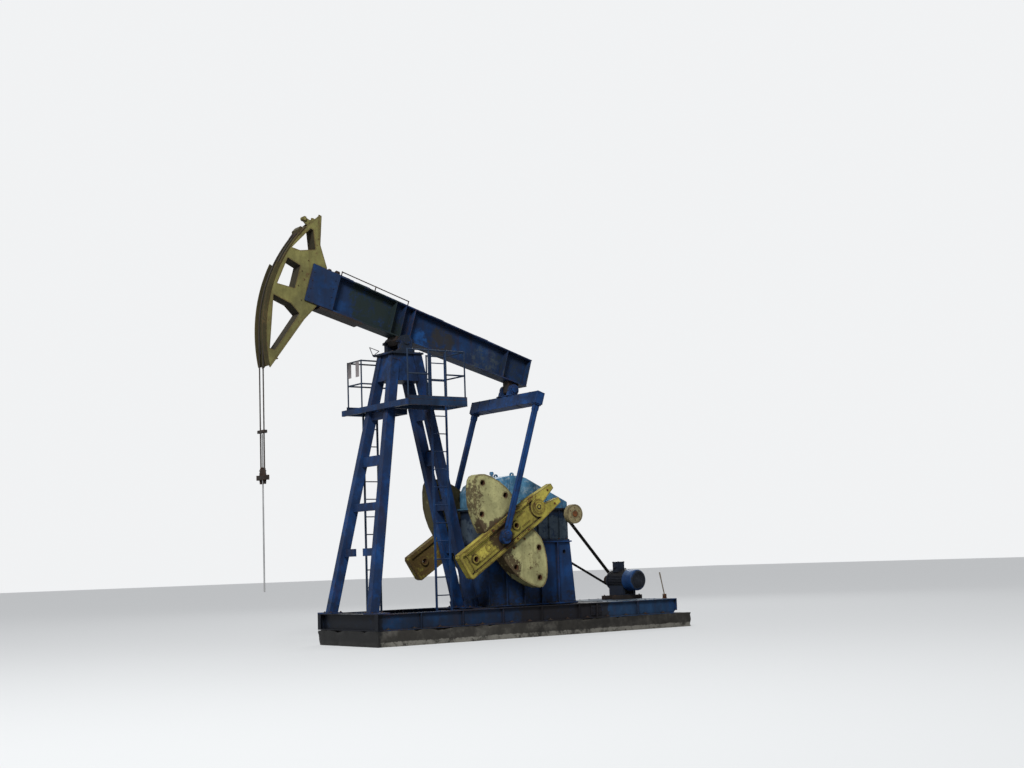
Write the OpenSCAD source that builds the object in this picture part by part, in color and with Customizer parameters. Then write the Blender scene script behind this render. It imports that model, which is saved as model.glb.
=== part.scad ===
// Beam pumping unit, one to one, millimetres.
// X runs from the well side (minus) to the motor side (plus), Z up, Y across.
// The origin is on the underside of the plinth, straight below the saddle shaft.

/* [Plinth] */
// Front face of the plinth
plinth_x0 = -1371; // [-1600:1:-1200]
// Length of the plinth
plinth_len = 8200; // [7000:10:9000]
// Width of the plinth
plinth_w = 2445; // [2200:1:2800]
// Height of the plinth
plinth_h = 310; // [150:1:600]

/* [Base frame] */
// Height of the base beams
base_h = 330; // [250:1:450]
// Flange width of the base beams
base_flange = 120; // [90:1:130]
// Flange thickness of the base beams
base_tf = 18; // [10:1:30]
// Web thickness of the base beams
base_tw = 12; // [8:1:20]
// Set-back of the base beams from the plinth's sides
base_inset = 4; // [2:1:12]
// Rear end of the main base beams
base_x1 = 4120; // [3900:10:4400]
// Distance between the web stiffeners
base_pitch = 1000; // [600:10:1500]
// Thickness of the web stiffeners
base_rib = 14; // [8:1:25]
// Width of the cross beams along the base
cross_w = 180; // [120:1:240]
// Gap left between welded-up beams of the base
base_gap = 0.3; // [0.1:0.1:1]
// Middle of the cross beam under the rear legs
cross_mid_x = 1500; // [1300:10:1650]
// Rear cross beam, distance from the rear end of the main base
cross_rear_back = 100; // [95:5:200]
// Inner beams, distance of each from the middle plane
inner_y = 440; // [400:10:480]

/* [Motor skid] */
// Rear end of the motor skid
skid_x1 = 6420; // [6300:10:6700]
// Deck plate thickness of the skid
skid_deck = 20; // [12:1:30]
// Size of the cut-off corner at the rear end of the skid
skid_chamfer = 110; // [40:5:160]

/* [Post] */
// Saddle shaft height above the plinth's underside
saddle_z = 6234; // [6000:1:6500]
// Foot of the front legs along X
front_foot_x = -1250; // [-1290:5:-1000]
// Foot of the front legs across Y
front_foot_y = 830; // [600:5:950]
// Foot of the rear legs along X
rear_foot_x = 1500; // [1350:5:1600]
// Rear legs, distance of each from the middle plane
rear_leg_y = 262; // [250:2:340]
// Top of the front legs along X
front_top_x = -235; // [-270:5:-180]
// Top of the front legs across Y
front_top_y = 222; // [200:2:260]
// Top of the rear legs along X
rear_top_x = 262; // [220:2:300]
// Depth of a leg's section along X
leg_wx = 200; // [150:5:240]
// Width of a leg's section across Y
leg_wy = 160; // [120:5:200]
// Thickness of the foot plates
foot_t = 24; // [12:1:40]
// Size of the foot plates
foot_w = 330; // [280:5:400]
// Height of the plated head of the post
head_h = 560; // [450:5:700]
// Thickness of the cap plate
cap_t = 40; // [25:1:60]
// Half length of the cap plate along X
cap_x = 390; // [360:5:430]
// Half width of the cap plate across Y
cap_y = 375; // [355:5:420]
// Height from the cap plate up to the saddle shaft
saddle_rise = 234; // [200:1:280]
// Gap between braces and legs
brace_gap = 0.3; // [0.1:0.1:1]
// Thickness of the braces
brace_t = 60; // [30:5:100]
// Height of the uppermost front brace
brace_z1 = 4680; // [4600:1:4760]
// Height of the second front brace
brace_z2 = 3733; // [3650:1:3820]
// Height of the third front brace
brace_z3 = 2788; // [2700:1:2880]
// Height of the broken front brace
brace_z4 = 1866; // [1780:1:1950]
// Near edge of the gap in the broken brace
break_near = -140; // [-250:10:-60]
// Far edge of the gap in the broken brace
break_far = 220; // [120:10:320]

/* [Saddle] */
// Saddle shaft radius
saddle_r = 60; // [45:1:70]
// Running clearance of shafts in their bearings, on the radius
run_gap = 0.05; // [0.02:0.01:0.1]
// Inner face of the saddle bearings
saddle_in = 204; // [200:1:230]
// Length of each saddle bearing along the shaft
saddle_len = 140; // [100:5:160]
// Outer radius of the saddle bearings
saddle_house = 135; // [110:1:150]
// Foot length of the saddle bearings
saddle_foot = 380; // [300:5:430]
// Half length of the saddle block on the beam
block_u = 170; // [120:5:185]
// Half width of the saddle block
block_y = 190; // [150:1:192]

/* [Walking beam] */
// Tilt of the beam at rest, head up
beam_tilt = 16.54; // [10:0.01:20]
// Front end of the cheeks, measured from the saddle
beam_u0 = -2405; // [-2500:5:-2300]
// Front end of the beam's own flanges and web
web_u0 = -2075; // [-2080:1:-1950]
// Rear end of the beam
beam_u1 = 3300; // [3200:5:3400]
// Top of the beam at the front end
beam_top0 = 838; // [780:1:860]
// Top of the beam at the rear end
beam_top1 = 755; // [700:1:800]
// Bottom of the beam at the front end
beam_bot0 = 36; // [20:1:60]
// Bottom of the beam at the rear end
beam_bot1 = 124; // [100:1:150]
// Half width of the beam's flanges
beam_half = 176; // [150:1:190]
// Flange thickness
beam_tf = 26; // [15:1:40]
// Web thickness
beam_tw = 16; // [10:1:25]
// Thickness of the web stiffeners
beam_rib = 16; // [10:1:25]
// Stiffener positions along the beam
beam_ribs = [-330, -90, 150, 2640, 3282];
// Thickness of the cheek plates on the front end
cheek_t = 14; // [8:1:20]
// Rear end of the cheek plates
cheek_u1 = -1750; // [-1950:10:-1500]
// Rear end of the packers between the cheek plates and the horsehead
packer_u0 = -2082; // [-2300:1:-2081]
// Thickness of the doubler under the front of the beam
doubler_t = 45; // [20:1:60]
// Front end of the doubler
doubler_u0 = -2033; // [-2200:1:-1900]
// Rear end of the doubler
doubler_u1 = -1008; // [-1200:1:-900]
// Height of the rail bar above the beam
rail_rise = 95; // [60:1:140]
// Front end of the rail bar
rail_u0 = -1722; // [-1900:1:-1600]
// Rear end of the rail bar
rail_u1 = -60; // [-300:1:100]
// Radius of the rail bar
rail_r = 12; // [8:1:18]
// Gap under the posts of the rail bar
rail_gap = 0.3; // [0.1:0.1:1]

/* [Horsehead] */
// Radius of the arc face
arc_r = 3170; // [3100:1:3250]
// Thickness of the arc plate
arc_t = 20; // [12:1:30]
// Half width of the arc plate
arc_half = 170; // [160:1:180]
// Outer face of the side plates
head_half = 155; // [140:1:158]
// Height of the rope guards above the arc
guard_rise = 68; // [40:1:80]
// Thickness of the rope guards
guard_t = 14; // [8:1:20]
// Angle of the upper end of the rope guards above the beam line
guard_up = 10.3; // [0:0.1:25]
// Angle of the upper end of the arc above the beam line
arc_up = 28.6; // [25:0.1:32]
// Angle of the lower end of the arc below the beam line
arc_down = 28.4; // [25:0.1:32]
// Height of the rope anchor at the top of the arc
anchor_h = 60; // [30:1:70]
// Half width of the rope anchor
anchor_y = 130; // [100:1:150]
// Thickness of the side plates
head_plate_t = 14; // [8:1:20]
// Thickness of the strips that line the windows
liner_t = 12; // [8:1:20]

/* [Tail bearing and pitmans] */
// Tail bearing along X at rest
tail_x = 2845; // [2800:1:2900]
// Tail bearing height at rest
tail_z = 5330; // [5280:1:5360]
// Tail shaft radius
tail_r = 50; // [40:1:60]
// Outer radius of the tail bearing
tail_house = 125; // [100:1:130]
// Half length of the bracket under the beam's tail across Y
tail_half = 105; // [80:1:110]
// Length of each tail bearing along the shaft
house_len = 80; // [60:1:100]
// Side clearance of the tail bearings on the bracket
house_gap = 8; // [5:1:15]
// Half length of the bracket plates along the beam
clevis_u = 140; // [110:1:170]
// Drop from the tail bearing to the middle of the equalizer
equal_drop = 305; // [295:1:340]
// Height of the equalizer beam
equal_h = 260; // [220:1:270]
// Width of the equalizer beam
equal_w = 190; // [150:1:230]
// Half length of the equalizer beam
equal_half = 1240; // [1225:1:1260]
// Pitman distance from the middle plane
pitman_y = 1160; // [1150:1:1170]
// Pitman section along the stroke
pitman_wx = 110; // [80:1:140]
// Pitman section across
pitman_wy = 64; // [40:1:80]
// Width of the lower pitman bearing
wrist_w = 224; // [180:1:240]
// Length of the lower pitman bearing along the pitman
wrist_l = 310; // [280:5:360]
// Thickness of the lower pitman bearing across Y
wrist_t = 120; // [100:1:130]
// Side clearance of the lower pitman bearings from the cranks
wrist_gap = 20; // [12:1:30]
// Radius of the cap on the lower bearing
wrist_cap_r = 76; // [60:1:95]

/* [Crank] */
// Crankshaft axis along X
crank_x = 2752; // [2700:1:2800]
// Crankshaft axis height
crank_z = 2717; // [2700:1:2760]
// Crank angle at rest, from the motor side upwards
crank_deg = 212.8; // [200:0.1:225]
// Radius of the wrist pin's circle
pin_r = 1130; // [1100:1:1160]
// Inner face of the cranks
crank_in = 900; // [880:1:920]
// Thickness of the cranks
crank_t = 170; // [120:1:175]
// Half width of the cranks
crank_half = 295; // [270:1:310]
// Length from the shaft to the tip
crank_tip = 2300; // [2250:5:2310]
// Length from the shaft to the forked end
crank_fork = 560; // [500:5:600]
// Half width of the forked end
fork_half = 232; // [200:1:260]
// Depth of the sunk web on each face
crank_sink = 40; // [10:1:60]
// Width of the rails along the edges of the cranks
crank_rail = 80; // [50:1:110]
// Crankshaft radius
shaft_r = 95; // [80:1:120]
// Hub radius of the cranks
hub_r = 145; // [120:1:170]
// Radius of the flat round the hub
hub_flat = 215; // [190:1:230]
// How far the hubs stand out
hub_out = 10; // [5:1:14]
// Half width of the fork at its open end
fork_gap = 120; // [80:1:140]
// Radius of the free pin holes
hole_r = 55; // [40:1:70]
// Step between the pin holes
hole_step = 418; // [380:1:430]
// Gap of cranks on the shaft
shaft_gap = 0.05; // [0.02:0.01:0.1]

/* [Counterweights] */
// Inner face of the weights
weight_in = 705; // [695:1:730]
// Thickness of the weights
weight_t = 295; // [200:5:340]
// Radius of the holes in the weights
weight_hole = 58; // [40:1:70]
// Gap between the weights and the cranks
weight_gap = 0.3; // [0.1:0.1:1]
// How far the upper weights have slid towards the cranks' tips
upper_slide = 40; // [-80:1:80]
// How far the lower weights have slid towards the cranks' tips
lower_slide = -58; // [-80:1:80]
// Shift of the upper weights away from the cranks
upper_lift = -42; // [-60:1:40]
// Shift of the lower weights away from the cranks
lower_lift = 38; // [-60:1:40]

/* [Gearbox] */
// Half width of the gearbox case
case_half = 460; // [420:1:480]
// Underside of the gearbox
case_z0 = 2000; // [1950:5:2050]
// Height of the cover's front wall above the split
cover_front = 363; // [300:1:400]
// Height of the cover's top above the split
cover_top = 708; // [660:1:760]
// Height of the cover's rear wall above the split
cover_rear = 133; // [80:1:180]
// Front face of the gearbox
case_x0 = 1760; // [1700:5:1850]
// Rear face of the gearbox
case_x1 = 3985; // [3950:5:4030]
// Thickness of the flange between case and cover
case_flange = 34; // [20:1:50]
// How far the flanges stand out
case_lip = 45; // [25:1:60]
// Radius of the bearing caps on the crankshaft
cap_r = 230; // [180:1:260]
// How far the bearing caps stand out
cap_out = 55; // [30:1:80]

/* [Pedestal] */
// Half width of the pedestal
ped_half = 500; // [460:1:560]
// Front of the pedestal at its foot
ped_x0 = 1745; // [1700:5:1800]
// Rear of the pedestal at its foot
ped_x1 = 4110; // [4060:5:4120]
// Rear of the pedestal at its top
ped_top_x1 = 3995; // [3950:5:4050]
// Distance between the upright ribs
ped_pitch = 465; // [400:5:560]
// How far the upright ribs stand out
ped_rib = 60; // [30:1:80]
// Thickness of the upright ribs
ped_rib_t = 26; // [12:1:40]
// Thickness of the top and foot plates
ped_plate = 32; // [20:1:50]
// Hole in the pedestal's near side along X
port_x = 3830; // [3780:5:3900]
// Height of that hole
port_z = 1760; // [1650:5:1850]
// Radius of that hole
port_r = 42; // [25:1:60]

/* [Input shaft and drive] */
// Input shaft axis along X
input_x = 4020; // [4000:1:4040]
// Input shaft axis height
input_z = 2575; // [2550:1:2600]
// Input shaft radius
input_r = 45; // [35:1:60]
// Radius of the boss for the input shaft
boss_r = 150; // [120:1:160]
// Radius of the brake drum
drum_r = 212; // [190:1:230]
// Width of the brake drum
drum_w = 125; // [110:1:180]
// Outer face of the brake drum
drum_out = 690; // [670:1:694]
// Radius of the large sheave
sheave_r = 560; // [520:1:600]
// Width of the sheaves and belts
sheave_w = 130; // [100:1:150]
// Middle of the belts across Y
belt_y = 622; // [610:1:624]
// Rim depth of the large sheave
sheave_rim = 60; // [40:1:90]
// Spoke width of the large sheave
spoke_w = 80; // [50:1:120]
// Radius of the motor pulley
pulley_r = 118; // [90:1:140]
// Thickness of the belts
belt_t = 24; // [14:1:30]
// Gap between belts and sheaves
belt_gap = 0.3; // [0.1:0.1:1]

/* [Motor] */
// Motor axis along X
motor_x = 6000; // [5950:5:6050]
// Motor axis height
motor_z = 1070; // [1050:5:1100]
// Motor radius
motor_r = 215; // [190:1:260]
// Near end of the motor body
motor_y0 = -95; // [-150:5:-60]
// Far end of the motor body
motor_y1 = 430; // [400:5:480]
// Length of the straight part of the near end cover
bell_len = 75; // [50:1:120]
// Radius of the near end cover
bell_r = 236; // [220:1:260]
// Depth of the dome on the near end cover
bell_dome = 80; // [40:1:110]
// Length of the far end cover
tail_cover = 42; // [25:1:60]
// Motor shaft radius
motor_shaft_r = 30; // [20:1:40]
// Height of the motor rails on the skid
rail_h = 90; // [60:5:120]
// Width of the motor rails
rail_w = 110; // [80:5:150]
// Width of the terminal box
box_w = 190; // [150:5:220]
// Height of the terminal box
motor_box = 235; // [150:5:260]

/* [Brake lever] */
// Lever pivot along X
lever_x = 6360; // [6320:5:6390]
// Lever pivot across Y
lever_y = -880; // [-1000:5:-700]
// Height of the lever pivot above the skid
lever_up = 70; // [50:1:100]
// Length of the lever
lever_len = 520; // [400:5:650]
// Lean of the lever at rest, towards the well
lever_lean = 13; // [0:0.5:25]

/* [Platforms] */
// Top of the platforms
deck_z = 4900; // [4850:5:4950]
// Height of the platform beams
deck_h = 120; // [80:5:160]
// Thickness of the chequered plate
deck_t = 8; // [5:1:12]
// Half length of the front beam
deck_half = 1310; // [1285:5:1350]
// Inner edge of both platforms
deck_in = 470; // [440:5:500]
// Step from the front beam's far end to the far platform
far_step = 110; // [60:5:160]
// Front edge of the near platform
near_x0 = -590; // [-590:5:-540]
// Rear edge of the near platform
near_x1 = 850; // [850:5:1000]
// Step from the front beam's near end to the near platform
near_step = 30; // [20:5:110]
// Free space round the ladder in its hatch
hatch_gap = 12; // [8:1:12]
// Length of the hatch across Y
hatch_len = 420; // [380:5:480]
// Front edge of the far platform
far_x0 = -590; // [-610:5:-570]
// Rear edge of the far platform
far_x1 = 480; // [400:5:560]
// Width of the beams under the platforms
deck_beam = 60; // [40:1:80]
// Height of the top rails above the platforms
guard_h = 1030; // [900:5:1100]
// Height of the middle rails
guard_mid = 520; // [400:5:600]
// Radius of posts and rails
guard_r = 17; // [12:1:24]

/* [Ladder] */
// Left stile along X
ladder_x0 = 390; // [370:5:420]
// Right stile along X
ladder_x1 = 755; // [700:5:800]
// Ladder distance from the middle plane
ladder_y = -620; // [-640:1:-600]
// Stile width along X
stile_w = 45; // [30:1:60]
// Stile thickness across Y
stile_t = 22; // [12:1:30]
// Distance between rungs
rung_pitch = 370; // [300:5:400]
// Rung radius
rung_r = 12; // [8:1:16]
// Height of the bearers under the ladder's feet
ladder_step = 80; // [40:5:120]
// Height of the ladder's top
ladder_top = 5960; // [5900:10:6050]

/* [Hanger] */
// Rope radius
rope_r = 14; // [10:1:18]
// Half distance between the two ropes
rope_y = 78; // [70:1:100]
// Gap between ropes and the arc
rope_gap = 0.3; // [0.1:0.1:1]
// Height of the carrier bar at rest
carrier_z = 3330; // [3250:5:3450]
// Height of the carrier bar's section
carrier_h = 90; // [60:1:120]
// Width of the carrier bar along X
carrier_w = 110; // [80:1:140]
// Half length of the carrier bar
carrier_half = 160; // [140:1:200]
// Polished rod radius
rod_r = 16; // [12:1:20]
// Lower end of the polished rod
rod_z0 = 1150; // [1100:5:1300]
// Upper end of the polished rod
rod_z1 = 4230; // [4000:5:4400]
// Radius of the rod clamp
clamp_r = 55; // [40:1:70]
// Height of the rod clamp
clamp_h = 120; // [80:5:160]
// Height of the spreader between the ropes
spreader_z = 4250; // [4240:5:4500]

/* [Hidden] */
$fn = 64;
eps = 0.01;
base_top = plinth_h + base_h;
base_y1 = plinth_w / 2 - base_inset;
base_y0 = base_y1 - base_flange;
cross_rear_x = base_x1 - cross_rear_back;
leg_z0 = base_top + foot_t;
cap_top = saddle_z - saddle_rise;
leg_z1 = cap_top - cap_t;
head_z0 = leg_z1 - head_h;
rope_x = -(arc_r + rope_gap + rope_r);
case_split = crank_z;
deck_out = deck_half - far_step;
near_out = deck_half - near_step;
pitman_lean = atan2(tail_x - pin_x(), tail_z - pin_z());
pitman_len = norm([tail_x - pin_x(), tail_z - pin_z()]);
crank_out = crank_in + crank_t;
wrist_in = crank_out + wrist_gap;
arm_drop = equal_drop + equal_h / 2;
tail_dx = tail_x;
tail_dz = tail_z - saddle_z;
tail_u = tail_dx * cos(beam_tilt) - tail_dz * sin(beam_tilt);
tail_w = tail_dx * sin(beam_tilt) + tail_dz * cos(beam_tilt);
steel_blue = [0.16, 0.30, 0.58];
head_yellow = [0.62, 0.60, 0.36];
crank_yellow = [0.78, 0.74, 0.34];
weight_yellow = [0.75, 0.73, 0.50];
case_blue = [0.48, 0.66, 0.76];
dark_steel = [0.16, 0.15, 0.14];
bright_steel = [0.72, 0.72, 0.72];
concrete = [0.34, 0.32, 0.29];
cream = [0.80, 0.72, 0.54];

function pin_x() = crank_x + pin_r * cos(crank_deg);
function pin_z() = crank_z + pin_r * sin(crank_deg);
function front_x(z) = front_foot_x + (front_top_x - front_foot_x) * (z - leg_z0) / (leg_z1 - leg_z0);
function rear_x(z) = rear_foot_x + (rear_top_x - rear_foot_x) * (z - leg_z0) / (leg_z1 - leg_z0);
function beam_top(u) = beam_top0 + (beam_top1 - beam_top0) * (u - beam_u0) / (beam_u1 - beam_u0);
function beam_bot(u) = beam_bot0 + (beam_bot1 - beam_bot0) * (u - beam_u0) / (beam_u1 - beam_u0);
function arc_point(r, a) = [-r * cos(a), r * sin(a)];

// Shared shapes

module side_extrude(y0, y1) {
    translate([0, y1, 0]) rotate([90, 0, 0]) linear_extrude(y1 - y0) children();
}

module both_sides() {
    children();
    mirror([0, 1, 0]) children();
}

module y_cyl(r, y0, y1) {
    translate([0, y1, 0]) rotate([90, 0, 0]) cylinder(h = y1 - y0, r = r);
}

module slant_bar(p, q, wx, wy) {
    d = q - p;
    translate(p) rotate([-asin(d[1] / norm(d)), atan2(d[0], d[2]), 0])
        translate([-wx / 2, -wy / 2, -300]) cube([wx, wy, norm(d) + 600]);
}

module round_bar(p, q, r) {
    d = q - p;
    translate(p) rotate([0, acos(d[2] / norm(d)), atan2(d[1], d[0])]) cylinder(h = norm(d), r = r, $fn = 8);
}

module beam_place() {
    translate([0, 0, saddle_z]) rotate([0, beam_tilt, 0]) children();
}

module tail_place() {
    translate([tail_x, 0, tail_z]) rotate([0, pitman_lean, 0]) children();
}

module crank_place() {
    translate([crank_x, 0, crank_z]) rotate([0, -crank_deg, 0]) children();
}

// Foundation and base

module plinth() {
    color(concrete) translate([plinth_x0, -plinth_w / 2, 0]) cube([plinth_len, plinth_w, plinth_h]);
}

module i_beam_x(x0, x1, y0, y1) {
    ym = (y0 + y1) / 2;
    translate([x0, y0, plinth_h]) cube([x1 - x0, y1 - y0, base_tf]);
    translate([x0, y0, base_top - base_tf]) cube([x1 - x0, y1 - y0, base_tf]);
    translate([x0, ym - base_tw / 2, plinth_h]) cube([x1 - x0, base_tw, base_h]);
}

module i_beam_y(xm, half) {
    translate([xm - cross_w / 2, -half, plinth_h]) cube([cross_w, 2 * half, base_tf]);
    translate([xm - cross_w / 2, -half, base_top - base_tf]) cube([cross_w, 2 * half, base_tf]);
    translate([xm - base_tw / 2, -half, plinth_h]) cube([base_tw, 2 * half, base_h]);
}

module base_beam() {
    i_beam_x(plinth_x0, base_x1, base_y0, base_y1);
    for (x = [plinth_x0 + base_rib / 2 : base_pitch : base_x1])
        translate([x - base_rib / 2, base_y0, plinth_h]) cube([base_rib, base_flange, base_h]);
    translate([base_x1 - base_rib, base_y0, plinth_h]) cube([base_rib, base_flange, base_h]);
}

module base_beam_near() {
    color(steel_blue) mirror([0, 1, 0]) base_beam();
}

module base_beam_far() {
    color(steel_blue) base_beam();
}

module front_cross_beam() {
    color(steel_blue) i_beam_y(plinth_x0 + cross_w / 2, base_y0 - base_gap);
}

module mid_cross_beam() {
    color(steel_blue) i_beam_y(cross_mid_x, base_y0 - base_gap);
}

module rear_cross_beam() {
    color(steel_blue) i_beam_y(cross_rear_x, base_y0 - base_gap);
}

module inner_beams() {
    x0 = cross_mid_x + cross_w / 2 + base_gap;
    x1 = cross_rear_x - cross_w / 2 - base_gap;
    color(steel_blue) both_sides() i_beam_x(x0, x1, inner_y - base_flange / 2, inner_y + base_flange / 2);
}

module motor_skid() {
    x0 = base_x1 + base_gap;
    color(steel_blue) difference() {
        union() {
            both_sides() i_beam_x(x0, skid_x1, base_y0, base_y1);
            translate([x0, -base_y1, base_top - skid_deck]) cube([skid_x1 - x0, 2 * base_y1, skid_deck]);
            translate([x0, -base_y1, plinth_h]) cube([base_rib, 2 * base_y1, base_h]);
            translate([skid_x1 - base_rib, -base_y1, plinth_h]) cube([base_rib, 2 * base_y1, base_h]);
            translate([(x0 + skid_x1) / 2, -base_y1, plinth_h]) cube([base_rib, 2 * base_y1, base_h]);
        }
        translate([skid_x1, 0, plinth_h]) rotate([0, 45, 0])
            cube([skid_chamfer, plinth_w, skid_chamfer], center = true);
    }
}

// Post

module slab() {
    translate([-3000, -3000, leg_z0]) cube([6000, 6000, leg_z1 - leg_z0]);
}

module foot(x, y) {
    translate([x - foot_w / 2, y - foot_w / 2, base_top]) cube([foot_w, foot_w, foot_t]);
}

module front_leg(grow = 0) {
    intersection() {
        slant_bar([front_foot_x, front_foot_y, leg_z0], [front_top_x, front_top_y, leg_z1],
                  leg_wx + 2 * grow, leg_wy + 2 * grow);
        slab();
    }
}

module rear_leg(grow = 0) {
    intersection() {
        slant_bar([rear_foot_x, rear_leg_y, leg_z0], [rear_top_x, rear_leg_y, leg_z1],
                  leg_wx + 2 * grow, leg_wy + 2 * grow);
        slab();
    }
}

module front_foot() {
    translate([plinth_x0, front_foot_y - foot_w / 2, base_top])
        cube([front_foot_x - plinth_x0 + foot_w / 2, foot_w + base_y1 - front_foot_y - foot_w / 2, foot_t]);
}

module front_leg_far() {
    color(steel_blue) union() {
        front_leg();
        front_foot();
    }
}

module front_leg_near() {
    color(steel_blue) mirror([0, 1, 0]) union() {
        front_leg();
        front_foot();
    }
}

module rear_leg_far() {
    color(steel_blue) union() {
        rear_leg();
        foot(rear_foot_x, rear_leg_y);
    }
}

module rear_leg_near() {
    color(steel_blue) mirror([0, 1, 0]) union() {
        rear_leg();
        foot(rear_foot_x, rear_leg_y);
    }
}

module brace(x, z, h, y0, y1) {
    translate([x - brace_t / 2, y0, z - h / 2]) cube([brace_t, y1 - y0, h]);
}

module front_braces() {
    reach = front_foot_y;
    color(steel_blue) difference() {
        union() {
            brace(front_x(brace_z1), brace_z1, 160, -reach * 0.5, reach * 0.5);
            brace(front_x(brace_z2), brace_z2, 210, -reach * 0.65, reach * 0.65);
            brace(front_x(brace_z3), brace_z3, 165, -reach * 0.8, reach * 0.8);
            brace(front_x(brace_z4), brace_z4, 155, -reach * 0.9, break_near);
            brace(front_x(brace_z4), brace_z4, 155, break_far, reach * 0.9);
        }
        both_sides() front_leg(brace_gap);
        both_sides() translate([0, leg_wy, 0]) front_leg(brace_gap);
    }
}

module rear_braces() {
    color(steel_blue) difference() {
        union() {
            for (b = [[4800, 400], [3800, 300], [2800, 200], [1900, 200]])
                brace(rear_x(b[0]), b[0], b[1], -rear_leg_y, rear_leg_y);
        }
        both_sides() rear_leg(brace_gap);
    }
}

module head_block() {
    x0 = front_x(head_z0) - leg_wx * 0.35;
    x1 = rear_x(head_z0) + leg_wx * 0.35;
    x2 = front_x(leg_z1) - leg_wx * 0.35;
    x3 = rear_x(leg_z1) + leg_wx * 0.35;
    intersection() {
        side_extrude(-rear_leg_y - leg_wy * 0.35, rear_leg_y + leg_wy * 0.35)
            polygon([[x0, head_z0], [x1, head_z0], [x3, leg_z1], [x2, leg_z1]]);
        translate([-1000, -rear_leg_y - leg_wy * 0.35, head_z0])
            cube([2000, 2 * rear_leg_y + leg_wy * 0.7, head_h]);
    }
}

module post_head() {
    color(steel_blue) union() {
        difference() {
            head_block();
            both_sides() front_leg(brace_gap);
            both_sides() rear_leg(brace_gap);
        }
        translate([-cap_x, -cap_y, leg_z1]) cube([2 * cap_x, 2 * cap_y, cap_t]);
    }
}

module saddle_bearing() {
    difference() {
        union() {
            translate([-saddle_foot / 2, saddle_in, cap_top]) cube([saddle_foot, saddle_len, 50]);
            translate([0, 0, saddle_z]) y_cyl(saddle_house, saddle_in, saddle_in + saddle_len);
            translate([-saddle_house, saddle_in, cap_top]) cube([2 * saddle_house, saddle_len, saddle_rise]);
        }
        translate([0, 0, saddle_z]) y_cyl(saddle_r + run_gap, saddle_in - 1, saddle_in + saddle_len + 1);
    }
}

module saddle_bearings() {
    color(steel_blue) both_sides() saddle_bearing();
}

// Walking beam

module beam_rib_at(u) {
    side_extrude(-beam_half + 4, beam_half - 4)
        polygon([[u - beam_rib / 2, beam_bot(u) + 1], [u + beam_rib / 2, beam_bot(u) + 1],
                 [u + beam_rib / 2, beam_top(u) - 1], [u - beam_rib / 2, beam_top(u) - 1]]);
}

module walking_beam() {
    color(steel_blue) beam_place() union() {
        side_extrude(-beam_half, beam_half)
            polygon([[web_u0, beam_top(web_u0) - beam_tf], [beam_u1, beam_top1 - beam_tf],
                     [beam_u1, beam_top1], [web_u0, beam_top(web_u0)]]);
        side_extrude(-beam_half, beam_half)
            polygon([[web_u0, beam_bot(web_u0)], [beam_u1, beam_bot1],
                     [beam_u1, beam_bot1 + beam_tf], [web_u0, beam_bot(web_u0) + beam_tf]]);
        side_extrude(-beam_tw / 2, beam_tw / 2)
            polygon([[web_u0, beam_bot(web_u0) + 1], [beam_u1, beam_bot1 + 1],
                     [beam_u1, beam_top1 - 1], [web_u0, beam_top(web_u0) - 1]]);
        beam_rib_at(web_u0 + beam_rib / 2);
        for (u = beam_ribs) beam_rib_at(u);
    }
}

module cheek() {
    side_extrude(beam_half, beam_half + cheek_t)
        polygon([[beam_u0, beam_bot(beam_u0)], [cheek_u1, beam_bot(cheek_u1)],
                 [cheek_u1, beam_top(cheek_u1)], [beam_u0, beam_top(beam_u0)]]);
    side_extrude(head_half, beam_half + 1)
        polygon([[beam_u0 + 6, beam_bot(beam_u0) + 6], [packer_u0, beam_bot(packer_u0) + 6],
                 [packer_u0, beam_top(packer_u0) - 6], [beam_u0 + 6, beam_top(beam_u0) - 6]]);
}

module beam_cheeks() {
    color(steel_blue) beam_place() both_sides() cheek();
}

module beam_doubler() {
    color(dark_steel) beam_place() side_extrude(-beam_half, beam_half)
        polygon([[doubler_u0, beam_bot(doubler_u0) - doubler_t], [doubler_u1, beam_bot(doubler_u1) - doubler_t],
                 [doubler_u1, beam_bot(doubler_u1)], [doubler_u0, beam_bot(doubler_u0)]]);
}

module beam_rail() {
    y = -beam_half + 30;
    p = [for (u = [rail_u0, (rail_u0 + rail_u1) / 2, rail_u1]) [u, y, beam_top(u) + rail_gap]];
    up = [0, 0, rail_rise];
    color(dark_steel) beam_place() union() {
        for (q = p) round_bar(q, q + up + [0, 0, rail_r], rail_r);
        round_bar(p[0] + up - [rail_r, 0, 0], p[2] + up + [rail_r, 0, 0], rail_r);
    }
}

module saddle_shaft() {
    color(dark_steel) beam_place() union() {
        y_cyl(saddle_r, -saddle_in - saddle_len, saddle_in + saddle_len);
        side_extrude(-block_y, block_y)
            polygon([[-block_u, beam_bot(-block_u)], [-block_u, -20], [-saddle_r - 20, -saddle_r - 30],
                     [saddle_r + 20, -saddle_r - 30], [block_u, -20], [block_u, beam_bot(block_u)]]);
    }
}

// Horsehead

head_outline = concat(
    [for (i = [0 : 12]) arc_point(arc_r - arc_t, -arc_down + i * (arc_up + arc_down) / 12)],
    [[636 - arc_r, 1873], [685 - arc_r, 1868], [-2352, 1273], [packer_u0, 868], [packer_u0, 50], [-2294, -354],
     [425 - arc_r, -1532]]);
window_top = [[514 - arc_r, 1516], [583 - arc_r, 1513], [-2434, 1139], [410 - arc_r, 996], [225 - arc_r, 988]];
window_mid = [[195 - arc_r, 747], [-1080 - arc_r / 2, 693], [-1073 - arc_r / 2, 203], [115 - arc_r, 158]];
window_low = [[100 - arc_r, -91], [-1072 - arc_r / 2, -133], [-2424, -262], [431 - arc_r, -1160],
              [315 - arc_r, -1162]];

module head_plate_shape() {
    difference() {
        polygon(head_outline);
        polygon(window_top);
        polygon(window_mid);
        polygon(window_low);
    }
}

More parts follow.
